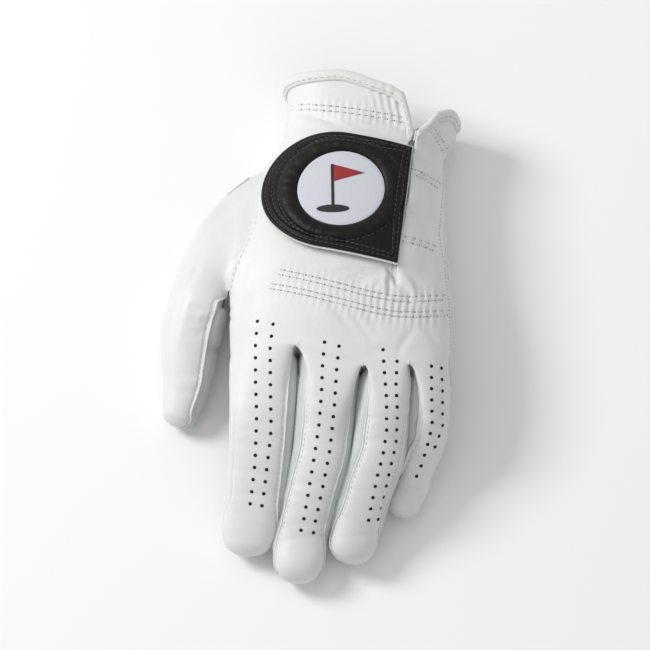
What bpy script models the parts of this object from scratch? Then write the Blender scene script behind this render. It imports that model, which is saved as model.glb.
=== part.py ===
"""A leather golf glove for the left hand, lying palm down with its fingers towards -Y and its thumb towards -X.

Every sheet of the glove is laid on one hand form. Across the form an angle runs from 0 at the little-finger side,
over 90 at the back of the hand and 180 at the index fold, to 270 at the palm. All lengths are in millimetres until
a mesh is written, and INSET is a depth below the form's surface.
"""

import math

import bmesh
import bpy
import numpy as np
from mathutils import Vector

MM = 0.001

# Materials and seams
LEATHER = 0.8  # thickness of the main leather
FOURCHETTE_LEATHER = 0.7
GAP = 0.35  # clearance between sheets that lie on each other
SIDE_GAP = 1.0  # the same where a finger's side strip tucks under the main leather
LAP = 1.6  # how far one sheet tucks under the next at a seam
CROTCH_LAP = 2.4  # the same for a side strip's fold at the crotch
TUCK = 1.5  # depth of the thumb's edge below the skin it is sewn under
ELASTIC = 0.9  # thickness of the elastic tapes
BINDING = 0.8  # thickness of the folded cuff binding
BINDING_WIDTH = 4.5

# Hand form: station y, centre x, width, top z, bottom z
HAND_SECTIONS = (
    (124.0, 29.5, 82.0, 40.0, 1.9),
    (101.0, 27.6, 77.0, 41.5, 1.7),
    (86.0, 23.4, 74.0, 43.5, -1.0),
    (78.0, 20.2, 80.4, 44.6, -1.0),
    (62.0, 17.4, 86.0, 46.8, -1.0),
    (45.0, 15.6, 90.0, 49.0, 1.0),
    (20.0, 13.2, 99.0, 52.0, 6.0),
    (0.0, 13.3, 100.0, 53.0, 12.0),
    (-20.0, 13.3, 99.5, 51.0, 18.0),
    (-60.0, 13.3, 99.5, 44.0, 18.0),
)
WIDEST_AT = 0.45  # share of the section's height where it is widest
HAND_SQUARENESS = 0.05
HAND_COLUMN = 7.5  # degrees between the columns of the hand's mesh
HAND_ROWS = 16

# Seam lines across the hand form, in degrees: place on the back, place on the palm
SIDE_SEAM = 12.0
LITTLE_RING = (54.0, 306.0)
RING_MIDDLE = (78.5, 281.5)
MIDDLE_INDEX = (113.4, 246.6)
FOLD = 180.0

# Cuff edge and the line of the finger crotches, as (angle, y)
CUFF_LINE = ((12, 103), (35, 98), (54, 88), (62, 97), (70, 106), (90, 112), (117, 117.5), (150, 113.5),
             (180, 109), (250, 104), (310, 102), (372, 103))
CROTCH_LINE = ((12, -16), (54, -25.5), (78.5, -27), (113.4, -17.5), (150, -13), (200, -15), (246.6, -21),
               (281.5, -30), (306, -28), (350, -18), (372, -16))

# Closure slit: its line in plan, as (y, x), which runs on as the seam between the little and ring fingers
SLIT_LINE = ((-60, 44.5), (-26, 44.3), (2, 40.6), (12, 38.7), (21, 37.2), (50, 40.8), (80, 44.2), (100, 47.5), (122, 49))
SLIT_END = 11.0
SLIT_GAP = 1.6
FLAP_LIFT = 3.4  # how far the flap beside the slit stands up to meet the tab
FLAP_REACH = 20.0  # degrees over which it comes back down

# Thumb hole, along the index fold
HOLE_TOP = 80.0
HOLE_END = 15.0
HOLE_BACK = 24.0  # degrees that it reaches over the back
HOLE_PALM = 48.0  # degrees that it reaches over the palm

# Fingers: centre line as (x, y, z), width at the root and the tip, thickness, roll in degrees
FINGERS = {
    "index": (((-21.4, -12.5, 36.0), (-22.3, -38.3, 35.0), (-23.4, -60.0, 29.0), (-25.2, -80.2, 18.5),
               (-27.6, -95.4, 10.0), (-27.2, -103.5, 8.6)), 28.5, 21.4, 16.5, -5.0),
    "middle": (((9.0, -21.0, 36.0), (7.2, -38.5, 35.5), (5.0, -60.7, 31.0), (-0.9, -81.1, 20.5),
                (-4.8, -97.5, 11.5), (-6.0, -116.5, 8.6)), 22.5, 20.2, 17.5, 5.0),
    "ring": (((33.0, -21.6, 35.5), (32.6, -38.1, 35.0), (30.6, -60.3, 31.0), (23.3, -80.6, 20.5),
              (19.6, -94.0, 13.2), (17.2, -107.5, 9.2)), 20.5, 19.6, 17.0, 18.0),
    "little": (((53.6, -21.7, 33.0), (53.4, -36.9, 30.5), (51.6, -53.0, 22.5), (47.6, -61.4, 16.8),
                (45.0, -68.8, 11.6), (41.2, -77.0, 9.0), (37.6, -83.5, 8.3)), 18.0, 16.0, 15.0, 32.0),
}
FINGER_SQUARENESS = 0.05
FINGER_SEAM = 35.0  # degrees from the finger's side to its seams
TIP_ROUND = 1.1  # length of the rounded tip as a share of half the width
CROTCH_BLEND = 22.0  # length over which the hand's skin becomes a finger's
ROOT_BLEND = 38.0  # length over which the hand's depth becomes a finger's
SEAM_END = 8.0  # distance from the tip where a finger's side strip ends
SEAM_TAPER = 20.0

# Thumb: centre line as (x, y, z), with the width and thickness there
THUMB_LINE = ((-51.0, 13.0, 15.0), (-54.0, 1.0, 13.5), (-55.4, -11.0, 12.0), (-56.2, -23.0, 10.5), (-58.8, -33.5, 8.5))
THUMB_WIDTHS = (27.0, 26.5, 24.0, 20.5, 16.0)
THUMB_THICKNESSES = (26.0, 24.0, 21.0, 18.5, 15.5)
THUMB_TIP = 8.0  # length of the rounded tip past the last station
THUMB_SWEEP = 1.15  # how strongly the leather leaves the hand before it turns along the thumb
THUMB_LOFT = (0.0, 0.14, 0.32, 0.52, 0.72, 0.88)  # shares of the way from the hole to the thumb's first station
THUMB_TURNS = (0.5, 0.95, 1.3)  # rows of the rounded tip, as angles
# Degrees from the thumb's inner side to the seams of its inner strip, at each row of its mesh
THUMB_SEAMS = (0, 0, 0, 0, 8, 32, 48, 50, 50, 50, 50, 46, 32, 14, 0)

# Closure tab, in its own plan: p from the middle of its root towards the tip, q across
TAB_ROOT = (39.9, 49.9)
TAB_TURN = 13.0
TAB_SLANT = 0.121  # how far the root edge leans, along p for each length across
TAB_LENGTH = 59.4
TAB_HALF = 29.2  # half its breadth, and the radius of its free end
TAB_LEATHER = 0.8
TAB_LINING = 0.7
HOOK_TAPE = 1.0
LOOP_TAPE = 1.2
BADGE_AT = (27.0, 1.0)
BADGE_RADIUS = 18.6
BADGE_RECESS = 0.3
BADGE_THICKNESS = 0.8
RING_HEIGHT = 1.4  # the padded ring round the badge
RING_WIDTH = 7.5
TAPE_MARGIN = 7.5  # distance of the hook tape from the tab's edge
TAB_RANGE = 150.0


def through(knots, x):
    """Smooth curve through (place, value) knots, flat beyond them, with no overshoot."""
    knots = np.array(knots, float)
    place, value = knots[np.argsort(knots[:, 0])].T
    x = np.clip(np.asarray(x, float), place[0], place[-1])
    run = np.diff(place)
    rise = np.diff(value) / run
    slope = np.concatenate([rise[:1], np.zeros(len(rise) - 1), rise[-1:]])
    steady = rise[1:] * rise[:-1] > 0
    slope[1:-1] = np.where(steady, 2 * rise[1:] * rise[:-1] / np.where(steady, rise[1:] + rise[:-1], 1), 0)
    i = np.clip(np.searchsorted(place, x) - 1, 0, len(run) - 1)
    t = (x - place[i]) / run[i]
    start = value[i] * (1 + 2 * t) * (1 - t) ** 2 + slope[i] * run[i] * t * (1 - t) ** 2
    return start + value[i + 1] * t * t * (3 - 2 * t) - slope[i + 1] * run[i] * t * t * (1 - t)


def ease(t):
    t = np.clip(t, 0, 1)
    return t * t * (3 - 2 * t)


def rounded_section(angle, half_width, up, down, squareness):
    """Sideways and upward offsets of a rounded section at these angles."""
    turn = np.radians(angle)
    swell = 1 + squareness * np.sin(2 * turn) ** 2
    height = np.where(np.sin(turn) > 0, up, down)
    return half_width * np.cos(turn) * swell, height * np.sin(turn) * swell


# ---- the hand ----


def hand_section(y):
    """Centre x, half width, top and bottom of the hand form at a station."""
    table = np.array(HAND_SECTIONS)
    centre, width, top, bottom = (through(table[:, [0, i]], y) for i in (1, 2, 3, 4))
    return centre, width / 2, top, bottom


def form_point(angle, y, inset=0.0):
    """A point this far below the hand form's surface; the form lies flat where it meets the table."""
    centre, half_width, top, bottom = hand_section(y)
    middle = bottom + WIDEST_AT * (top - bottom)
    up, down = top - middle - inset, middle - bottom - inset
    side, rise = rounded_section(angle, half_width - inset, up, down, HAND_SQUARENESS)
    return np.stack([centre + side, y, np.maximum(middle + rise, inset)], -1)


def back_angle(x, y):
    """The angle on the back of the hand form that stands over this plan point."""
    centre, half_width, _, _ = hand_section(y)
    share = (x - centre) / half_width
    turn = np.arccos(np.clip(share, -1, 1))
    for _ in range(8):
        turn = np.arccos(np.clip(share / (1 + HAND_SQUARENESS * np.sin(2 * turn) ** 2), -1, 1))
    return np.degrees(turn)


def slit_share(y):
    """0 below the closure slit's end, 1 where it is fully open."""
    return ease((y - SLIT_END) / 14)


def hand_point(seam_angle, y, inset=0.0):
    """A point of the leather, where 54 degrees follows the slit line and the flap beside it stands up."""
    seam_angle, y, inset = np.broadcast_arrays(np.asarray(seam_angle, float), np.asarray(y, float), inset)
    drift = back_angle(through(SLIT_LINE, y), y) - LITTLE_RING[0]
    angles = [SIDE_SEAM, LITTLE_RING[0], RING_MIDDLE[0]]
    angle = seam_angle + drift * np.interp(seam_angle, angles, [0, 1, 0])
    near = ease((seam_angle - LITTLE_RING[0] + FLAP_REACH) / FLAP_REACH)
    lift = np.where(seam_angle < LITTLE_RING[0], FLAP_LIFT * near * slit_share(y), 0)
    return form_point(angle, y, inset - lift)


def row_y(angle, v):
    """Station of a row of the hand's sheet: v is 0 at the cuff and 1 at the crotches."""
    return through(CUFF_LINE, angle) * (1 - v) + through(CROTCH_LINE, angle) * v


# ---- the fingers ----


class Finger:
    """One finger of the form: a bent centre line with a rounded section."""

    def __init__(self, name, right, left):
        line, self.root_width, self.tip_width, thickness, roll = FINGERS[name]
        self.edges = (right, left)  # seam angles of the hand at its two sides, on the back and on the palm
        self.depth = thickness / 2
        knots = np.array(line)
        walked = np.concatenate([[0], np.cumsum(np.linalg.norm(np.diff(knots, axis=0), axis=1))])
        fine = np.linspace(0, walked[-1], 400)
        path = np.stack([through(np.stack([walked, knots[:, i]], 1), fine) for i in range(3)], 1)
        walked = np.concatenate([[0], np.cumsum(np.linalg.norm(np.diff(path, axis=0), axis=1))])
        self.length = walked[-1]
        self.steps = np.linspace(0, self.length, 161)
        self.line = np.stack([np.interp(self.steps, walked, path[:, i]) for i in range(3)], 1)
        ahead = np.gradient(self.line, axis=0)
        smooth = np.array([np.convolve(np.pad(a, 8, "edge"), np.ones(17) / 17, "valid") for a in ahead.T]).T
        self.ahead = smooth / np.linalg.norm(smooth, axis=1)[:, None]
        side = np.cross([0, 0, 1.0], self.ahead)
        side /= np.linalg.norm(side, axis=1)[:, None]
        up = np.cross(self.ahead, side)
        turn = math.radians(roll)
        self.up = up * math.cos(turn) + side * math.sin(turn)
        self.side = side * math.cos(turn) - up * math.sin(turn)
        back, palm = (right[0] + left[0]) / 2, (right[1] + left[1]) / 2
        self.start = float(through(CROTCH_LINE, back))
        self.root_depth = np.linalg.norm(hand_point(back, self.start) - hand_point(palm, self.start)) / 2
        edges = hand_point(np.array([right[0], left[0]]), self.start)
        self.root_half = abs(edges[1, 0] - edges[0, 0]) / 2 * 0.9

    def walked(self, u, crotch):
        """Distance along the centre line for skin this far past the crotch line, which isn't level."""
        return np.maximum(u, 0) + (self.start - crotch) * np.clip(1 - u / ROOT_BLEND, 0, 1)

    def seam(self, u):
        """Degrees from the finger's side to its seams, which close towards the tip."""
        return FINGER_SEAM * (1 - ease((u - self.length + SEAM_END + SEAM_TAPER) / SEAM_TAPER))

    def rows(self):
        """Distances along the finger of its mesh rows."""
        tip = self.tip_width / 2 * TIP_ROUND
        last = self.length - tip
        return np.concatenate([[0, 2.4, 6, 11], np.linspace(18, last, 8), last + tip * np.sin([0.5, 1.0, 1.35])])

    def point(self, angle, u, inset=0.0):
        """A point this far below the finger's skin, at this angle and distance from its root."""
        angle, u = np.broadcast_arrays(np.asarray(angle, float), np.asarray(u, float))
        along = np.clip(u, 0, self.length)
        centre, up, side = (np.stack([np.interp(along, self.steps, of[:, i]) for i in range(3)], -1)
                            for of in (self.line, self.up, self.side))
        half = (self.root_width + (self.tip_width - self.root_width) * along / self.length) / 2
        tip = self.tip_width / 2 * TIP_ROUND
        end = np.sqrt(np.clip(1 - np.clip((along - self.length + tip + inset) / tip, 0, 1) ** 2, 0, 1))
        half = (half + (self.root_half - half) * (1 - ease(along / 9)) - inset) * end
        depth = (self.depth + (self.root_depth - self.depth) * (1 - ease(along / ROOT_BLEND)) - inset) * end
        across, rise = rounded_section(angle, half, depth, depth, FINGER_SQUARENESS)
        point = centre + across[..., None] * side + rise[..., None] * up
        point[..., 2] = np.maximum(point[..., 2], inset)
        return point


def crotch_share(u):
    """How much of a finger's own form the skin has taken on, rising steeply from the crotch."""
    return np.sin(np.pi / 2 * np.sqrt(np.clip(u / CROTCH_BLEND, 0, 1)))


def skin(finger, seam_angle, finger_angle, u):
    """The skin past the crotch, blended from the hand form to the finger's."""
    hand = hand_point(seam_angle, through(CROTCH_LINE, seam_angle) - u)
    share = crotch_share(u)[..., None]
    return hand * (1 - share) + finger.point(finger_angle, finger.walked(u, through(CROTCH_LINE, seam_angle))) * share


def make_fingers():
    seam = (SIDE_SEAM, SIDE_SEAM + 360)
    return {
        "little": Finger("little", seam, LITTLE_RING),
        "ring": Finger("ring", LITTLE_RING, RING_MIDDLE),
        "middle": Finger("middle", RING_MIDDLE, MIDDLE_INDEX),
        "index": Finger("index", MIDDLE_INDEX, (FOLD, FOLD)),
    }


# ---- sheets ----


def material(name, colour, roughness):
    made = bpy.data.materials.new(name)
    made.use_nodes = True
    shader = made.node_tree.nodes["Principled BSDF"]
    shader.inputs["Base Color"].default_value = (*colour, 1)
    shader.inputs["Roughness"].default_value = roughness
    return made


def piece(name, grids, finish, thickness=0.0):
    """One body from grids of points, joined where they meet, with the leather's thickness laid on its inner side."""
    shape = bmesh.new()
    for grid in grids:
        grid = np.asarray(grid) * MM
        rows, columns, _ = grid.shape
        points = [[shape.verts.new(grid[i, j]) for j in range(columns)] for i in range(rows)]
        for i in range(rows - 1):
            for j in range(columns - 1):
                shape.faces.new((points[i][j], points[i][j + 1], points[i + 1][j + 1], points[i + 1][j]))
    bmesh.ops.remove_doubles(shape, verts=shape.verts, dist=0.02 * MM)
    if not thickness:
        bmesh.ops.recalc_face_normals(shape, faces=shape.faces)
    mesh = bpy.data.meshes.new(name)
    shape.to_mesh(mesh)
    shape.free()
    mesh.materials.append(finish)
    mesh.shade_smooth()
    mesh.set_sharp_from_angle(angle=math.radians(50))
    made = bpy.data.objects.new(name, mesh)
    bpy.context.collection.objects.link(made)
    if thickness:
        wall = made.modifiers.new("wall", "SOLIDIFY")
        wall.thickness = thickness * MM
        wall.offset = -1
    return made


def columns_for(right, left):
    return max(3, round(abs(left - right) / HAND_COLUMN)) + 1


def columns(first, last):
    """Seam angles of the main leather's columns from one angle to another."""
    seams = [SIDE_SEAM, LITTLE_RING[0], RING_MIDDLE[0], MIDDLE_INDEX[0], FOLD, MIDDLE_INDEX[1], RING_MIDDLE[1],
             LITTLE_RING[1], SIDE_SEAM + 360]
    every = np.concatenate([np.linspace(a, b, columns_for(a, b))[:-1] for a, b in zip(seams, seams[1:])] + [seams[-1:]])
    return every[(every > first - 0.1) & (every < last + 0.1)]


def slit_edge(y, side):
    """Seam angle of one edge of the slit: side is -1 for the flap and 1 for the hand."""
    half_width = hand_section(y)[1]
    return LITTLE_RING[0] + side * np.degrees(SLIT_GAP / 2 / half_width) * slit_share(y) * 1.15


def beside_slit(angle, y, side):
    """Seam angles moved apart by the slit's gap, over the strips of leather on its two sides."""
    far = SIDE_SEAM if side < 0 else RING_MIDDLE[0]
    share = np.clip((angle - far) / (LITTLE_RING[0] - far), 0, 1)
    return angle + (slit_edge(y, side) - LITTLE_RING[0]) * share


def hand_block(right, left, rows):
    """The hand's sheet between two seam lines, over these rows."""
    count = columns_for(right, left)
    angle = np.broadcast_to(np.linspace(right, left, count), (len(rows), count))
    y = row_y(angle, rows[:, None])
    share = np.linspace(0, 1, count)
    if left == LITTLE_RING[0]:
        angle = beside_slit(angle, y, -1)
    if right == LITTLE_RING[0]:
        angle = beside_slit(angle, y, 1)
    if left == FOLD:
        angle = angle - HOLE_BACK * hole_opening(y) * share
    if right == FOLD:
        angle = angle + HOLE_PALM * hole_opening(y) * (1 - share)
    return hand_point(angle, y)


def finger_block(finger, palm):
    """The main leather's strip over one side of a finger, closed at the tip."""
    hand_from, hand_to = (edge[1 if palm else 0] for edge in finger.edges)
    u = finger.rows()
    seam = finger.seam(u)
    right = seam * SIDE_SEAM / FINGER_SEAM if finger.edges[0][0] == SIDE_SEAM else seam
    left = 180 - seam
    if finger.edges[1][0] == FOLD:
        left = np.full_like(u, 180.0)
    if palm:
        hand_from, hand_to = hand_to, hand_from
        right, left = 360 - left, 360 + (right if finger.edges[0][0] == SIDE_SEAM else -right)
    count = columns_for(hand_from, hand_to)
    share = np.linspace(0, 1, count)
    angle = right[:, None] * (1 - share) + left[:, None] * share
    hand = np.broadcast_to(np.linspace(hand_from, hand_to, count), angle.shape)
    grid = skin(finger, hand, angle, np.broadcast_to(u[:, None], angle.shape))
    tip = np.broadcast_to(finger.point(90.0, finger.length), (1, count, 3))
    return np.concatenate([grid, tip])


def trank(fingers, finish):
    """Back, palm and both sides of every finger: one leather folded at the index finger and sewn at the other side."""
    rows = np.linspace(0, 1, HAND_ROWS + 1)
    back = [SIDE_SEAM, LITTLE_RING[0], RING_MIDDLE[0], MIDDLE_INDEX[0], FOLD]
    palm = [FOLD, MIDDLE_INDEX[1], RING_MIDDLE[1], LITTLE_RING[1], SIDE_SEAM + 360]
    grids = [hand_block(a, b, rows) for line in (back, palm) for a, b in zip(line, line[1:])]
    for finger in fingers.values():
        grids += [finger_block(finger, False), finger_block(finger, True)]
    return piece("trank", grids, finish, LEATHER)


def fourchette(name, radial, ulnar, line, finish):
    """The side strip of two neighbouring fingers, one leather that turns back at their crotch."""
    inset = LEATHER + SIDE_GAP
    across = np.linspace(-1, 1, 5)
    grids = []
    for finger, side in ((radial, 0), (ulnar, 180)):
        u = finger.rows()
        u = np.concatenate([[-CROTCH_LAP], u[u < finger.length - SEAM_END]])[:, None]
        spread = finger.seam(u) + math.degrees(LAP / (finger.tip_width / 2))
        angle = -across * spread if side == 0 else 180 + across * spread
        crotches = through(CROTCH_LINE, np.array(line))
        back, palm = (hand_point(edge, crotch - u, inset) for edge, crotch in zip(line, crotches))
        web = (back * (1 - across[:, None]) + palm * (1 + across[:, None])) / 2
        crotch = (crotches[0] * (1 - across) + crotches[1] * (1 + across)) / 2
        share = crotch_share(u + CROTCH_LAP)[..., None]
        grid = web * (1 - share) + finger.point(angle, finger.walked(u, crotch), inset) * share
        grids.append(grid if side else grid[:, ::-1])
    return piece(name, grids, finish, FOURCHETTE_LEATHER)


# ---- the thumb ----


def hole_opening(y, power=0.5):
    """Share of its full breadth to which the thumb hole is open at a station."""
    return np.sin(np.pi * np.clip((y - HOLE_END) / (HOLE_TOP - HOLE_END), 0, 1)) ** power


def hole_loop(around, grown, inset):
    """The thumb hole's outline, grown or shrunk by this much, below the hand form's surface."""
    half = (HOLE_TOP - HOLE_END) / 2
    y = HOLE_END + half + (half + grown) * np.cos(around)
    side = np.sign(np.sin(around)) * np.clip(4 * np.abs(np.sin(around)), 0, 1)
    reach = np.where(side > 0, HOLE_BACK, HOLE_PALM) * hole_opening(y, 0.7) + math.degrees(grown / 26)
    return hand_point(FOLD - np.maximum(reach, 0) * side, y, inset)


def inward(grid, depth):
    """The sheet moved in by this depth along its own normals."""
    along, across = np.gradient(grid, axis=0), np.gradient(grid, axis=1)
    normal = np.cross(along, across)
    return grid - depth * normal / np.linalg.norm(normal, axis=2)[..., None]


def thumb_ring(station, around, inset, tip=0.0):
    """A ring of the thumb's skin at a station, or on the rounded tip at this angle past the last."""
    line = np.array(THUMB_LINE)
    ahead = np.gradient(line, axis=0)[station]
    ahead /= np.linalg.norm(ahead)
    out = np.cross([0, 0, 1.0], ahead)
    out *= -np.sign(out[0]) / np.linalg.norm(out)
    up = np.cross(out, ahead)
    up *= np.sign(up[2])
    half, depth = THUMB_WIDTHS[station] / 2 * math.cos(tip), THUMB_THICKNESSES[station] / 2 * math.cos(tip)
    side, rise = rounded_section(np.degrees(around), half, depth, depth, 0.03)
    centre = line[station] + ahead * THUMB_TIP * math.sin(tip)
    return centre + side[:, None] * out + rise[:, None] * up


def thumb_skin(around):
    """Rows of the thumb's skin from the hole in the main leather to the tip, each at its own row of angles."""
    rows = [hole_loop(around[0], LAP, TUCK)]
    ahead = np.array(THUMB_LINE[1]) - np.array(THUMB_LINE[0])
    ahead /= np.linalg.norm(ahead)
    for t, turn in zip(THUMB_LOFT, around[1:]):
        inner = hole_loop(turn, -1.8, TUCK)
        away = hole_loop(turn, -9.0, TUCK - 15.0) - inner
        away /= np.linalg.norm(away, axis=1)[:, None]
        ring = thumb_ring(0, turn, 0.0)
        span = np.linalg.norm(ring - inner, axis=1)[:, None]
        start = (1 + 2 * t) * (1 - t) ** 2 * inner + t * (1 - t) ** 2 * span * THUMB_SWEEP * away
        rows.append(start + t * t * (3 - 2 * t) * ring - t * t * (1 - t) * span * ahead)
    first, last = 1 + len(THUMB_LOFT), len(THUMB_LINE) - 1
    rows += [thumb_ring(i, around[first + i], 0.0) for i in range(last + 1)]
    rows += [thumb_ring(last, around[first + last + 1 + i], 0.0, turn) for i, turn in enumerate(THUMB_TURNS)]
    return np.array(rows)


def on_table(grid, inset=0.0):
    grid[..., 2] = np.maximum(grid[..., 2], inset)
    return grid


def thumb(finish):
    """The thumb's outer leather, open along its inner side and closed at the tip."""
    edge = math.pi - np.radians(THUMB_SEAMS)[:, None]
    around = edge * np.linspace(-1, 1, 21)
    tip = thumb_ring(len(THUMB_LINE) - 1, around[-1], 0.0, math.pi / 2)
    grid = on_table(np.concatenate([thumb_skin(around), tip[None]]))
    return piece("thumb", [grid[:, ::-1]], finish, LEATHER)


def thumb_inner(finish):
    """The strip down the thumb's inner side, tucked under the outer leather's edges."""
    spread = np.radians(THUMB_SEAMS)[:, None] + LAP / 11
    around = math.pi + spread * np.linspace(-1, 1, 8)
    inset = LEATHER + SIDE_GAP
    grid = inward(thumb_skin(around), inset)[4:-1]
    return piece("thumb_inner", [on_table(grid, inset)[:, ::-1]], finish, FOURCHETTE_LEATHER)


# ---- tapes and closure ----


def inner_tape(name, first, last, stations, finish, count=3):
    """An elastic tape sewn inside the back; stations gives its two edges as (angle, y) knots."""
    angle = columns(first, last)
    share = np.linspace(0, 1, count)[:, None]
    y = through(stations[0], angle) * (1 - share) + through(stations[1], angle) * share
    return piece(name, [hand_point(angle, y, LEATHER + GAP)], finish, ELASTIC)


def cuff_binding(finish):
    """The tape folded over the cuff's edge, from one side of the slit round the wrist to the other."""
    flap = columns(SIDE_SEAM, LITTLE_RING[0])[::-1]
    rest = columns(LITTLE_RING[0], SIDE_SEAM + 360)[::-1]
    edges = [through(CUFF_LINE, line) for line in (flap, rest)]
    edge = np.concatenate([edges[0], edges[1][1:]])
    angle = np.concatenate([beside_slit(flap, edges[0], -1), beside_slit(rest, edges[1], 1)[1:]])
    line = np.gradient(hand_point(angle, edge), axis=0)
    level = np.linalg.norm(line[:, [0, 2]], axis=1) / np.linalg.norm(line, axis=1)
    near, far = GAP / np.maximum(level, 0.25), (GAP + BINDING) / np.maximum(level, 0.25)
    outer, inner = -GAP - 0.2, LEATHER + GAP + 0.2
    under, over = inner + BINDING, outer - BINDING
    low, half = -BINDING_WIDTH, -BINDING_WIDTH / 2
    fold = ((outer, low), (outer, half), (outer, near), (inner, near), (inner, half), (inner, low), (under, low),
            (under, half), (under, far), (over, far), (over, half), (over, low), (outer, low))
    rows = np.array([hand_point(angle, edge + dy, depth) for depth, dy in fold])
    ends = [np.stack([rows[[0, 1, 2, 3, 4, 5], i], rows[[11, 10, 9, 8, 7, 6], i]]) for i in (0, -1)]
    return piece("cuff_binding", [rows, *ends], finish)


def tab_outline(angle, grown):
    """Distance from the badge's centre to the tab's outline, moved out by this much, in each direction."""
    half, length = TAB_HALF + grown, TAB_LENGTH + grown
    start = np.array([TAB_SLANT * -half - grown, -half])
    end = np.array([TAB_SLANT * half - grown, half])
    turn = np.linspace(np.pi / 2, -np.pi / 2, 60)
    cap = np.stack([length - half + half * np.cos(turn), half * np.sin(turn)], 1)
    outline = np.concatenate([np.linspace(start, end, 30), np.linspace(end, cap[0], 20), cap,
                              np.linspace(cap[-1], start, 20)]) - BADGE_AT
    place = np.arctan2(outline[:, 1], outline[:, 0])
    order = np.argsort(place)
    return np.interp(angle, place[order], np.linalg.norm(outline, axis=1)[order], period=2 * np.pi)


def tab_angles():
    """Directions of the tab's columns from the badge's centre, with one at each root corner."""
    corners = [math.atan2(side * TAB_HALF - BADGE_AT[1], TAB_SLANT * side * TAB_HALF - BADGE_AT[0]) for side in (1, -1)]
    corners[1] += 2 * math.pi
    root = np.linspace(corners[0], corners[1], 15)
    free = np.linspace(corners[1], corners[0] + 2 * math.pi, 31)
    return np.concatenate([root, free[1:]])


def tab_point(p, q, height):
    """A point of the tab's plan laid this high over the back of the hand."""
    turn = math.radians(TAB_TURN)
    x = TAB_ROOT[0] - p * math.cos(turn) + q * math.sin(turn)
    y = TAB_ROOT[1] + p * math.sin(turn) + q * math.cos(turn)
    return form_point(back_angle(x, y), y, -height)


def polar(angle, radius, height):
    """Ring of points about the badge's centre."""
    return tab_point(BADGE_AT[0] + radius * np.cos(angle), BADGE_AT[1] + radius * np.sin(angle), height)


def plate(name, outline, low, high, finish, angle):
    """A flat layer of the closure, from its middle out to an outline of radii."""
    shares = (0.0, 0.3, 0.55, 0.78, 1.0)
    top = [polar(angle, outline * share, high) for share in shares]
    bottom = [polar(angle, outline * share, low) for share in reversed(shares)]
    return piece(name, [np.array(top + bottom)], finish)


def closure(leather, tape, badge):
    """Loop pad on the hand, and the tab above it: hook pad, lining, leather with a window, and the badge."""
    angle = tab_angles()
    low = GAP
    loop = plate("loop_pad", tab_outline(angle, -TAPE_MARGIN + 1.5), low, low + LOOP_TAPE, tape, angle)
    low += LOOP_TAPE + GAP
    hook = plate("hook_pad", tab_outline(angle, -TAPE_MARGIN), low, low + HOOK_TAPE, tape, angle)
    low += HOOK_TAPE + GAP
    lining = plate("tab_lining", tab_outline(angle, 0.5), low, low + TAB_LINING, tape, angle)
    low += TAB_LINING + GAP
    top = low + TAB_LEATHER
    edge = tab_outline(angle, 0.0)
    window = BADGE_RADIUS + GAP
    ring = [(window, top - 0.2), (window + 0.8, top + RING_HEIGHT * 0.55), (window + RING_WIDTH * 0.35, top + RING_HEIGHT),
            (window + RING_WIDTH * 0.7, top + RING_HEIGHT * 0.6)]
    rows = [polar(angle, np.full_like(angle, window), low)]
    rows += [polar(angle, np.minimum(radius, edge - 1.5), height) for radius, height in ring]
    start = np.minimum(window + RING_WIDTH, edge - 1.2)
    rows += [polar(angle, start, top), polar(angle, (start + edge) / 2, top), polar(angle, edge, top)]
    rows += [polar(angle, edge, low), polar(angle, (start + edge) / 2, low), polar(angle, start, low), rows[0]]
    cover = piece("closure_tab", [np.array(rows)], leather)
    seat = np.full_like(angle, BADGE_RADIUS)
    disc = plate("tab_badge", seat, top - BADGE_RECESS - BADGE_THICKNESS + 0.3, top - BADGE_RECESS + 0.3, badge, angle)
    return [loop], [hook, lining, cover, disc]


def hinge_line():
    """Middle and direction of the tab's hinge, along its root at the level of its upper face."""
    height = 3 * GAP + LOOP_TAPE + HOOK_TAPE + GAP + TAB_LINING + TAB_LEATHER
    q = np.array([-TAB_HALF, TAB_HALF])
    ends = tab_point(TAB_SLANT * q, q, height)
    along = ends[1] - ends[0]
    return ends.mean(0), along / np.linalg.norm(along)


def clear_scene():
    for obj in list(bpy.data.objects):
        bpy.data.objects.remove(obj)


def empty(name, place, parent=None):
    made = bpy.data.objects.new(name, None)
    bpy.context.collection.objects.link(made)
    made.parent = parent
    made.location = Vector(place) * MM
    return made


def bounds(objects):
    """Lowest and highest corners of the finished pieces, in metres."""
    bpy.context.view_layer.update()
    graph = bpy.context.evaluated_depsgraph_get()
    points = []
    for made in objects:
        shown = made.evaluated_get(graph)
        points += [shown.matrix_world @ vertex.co for vertex in shown.data.vertices]
    points = np.array(points)
    return points.min(0), points.max(0)


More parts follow.
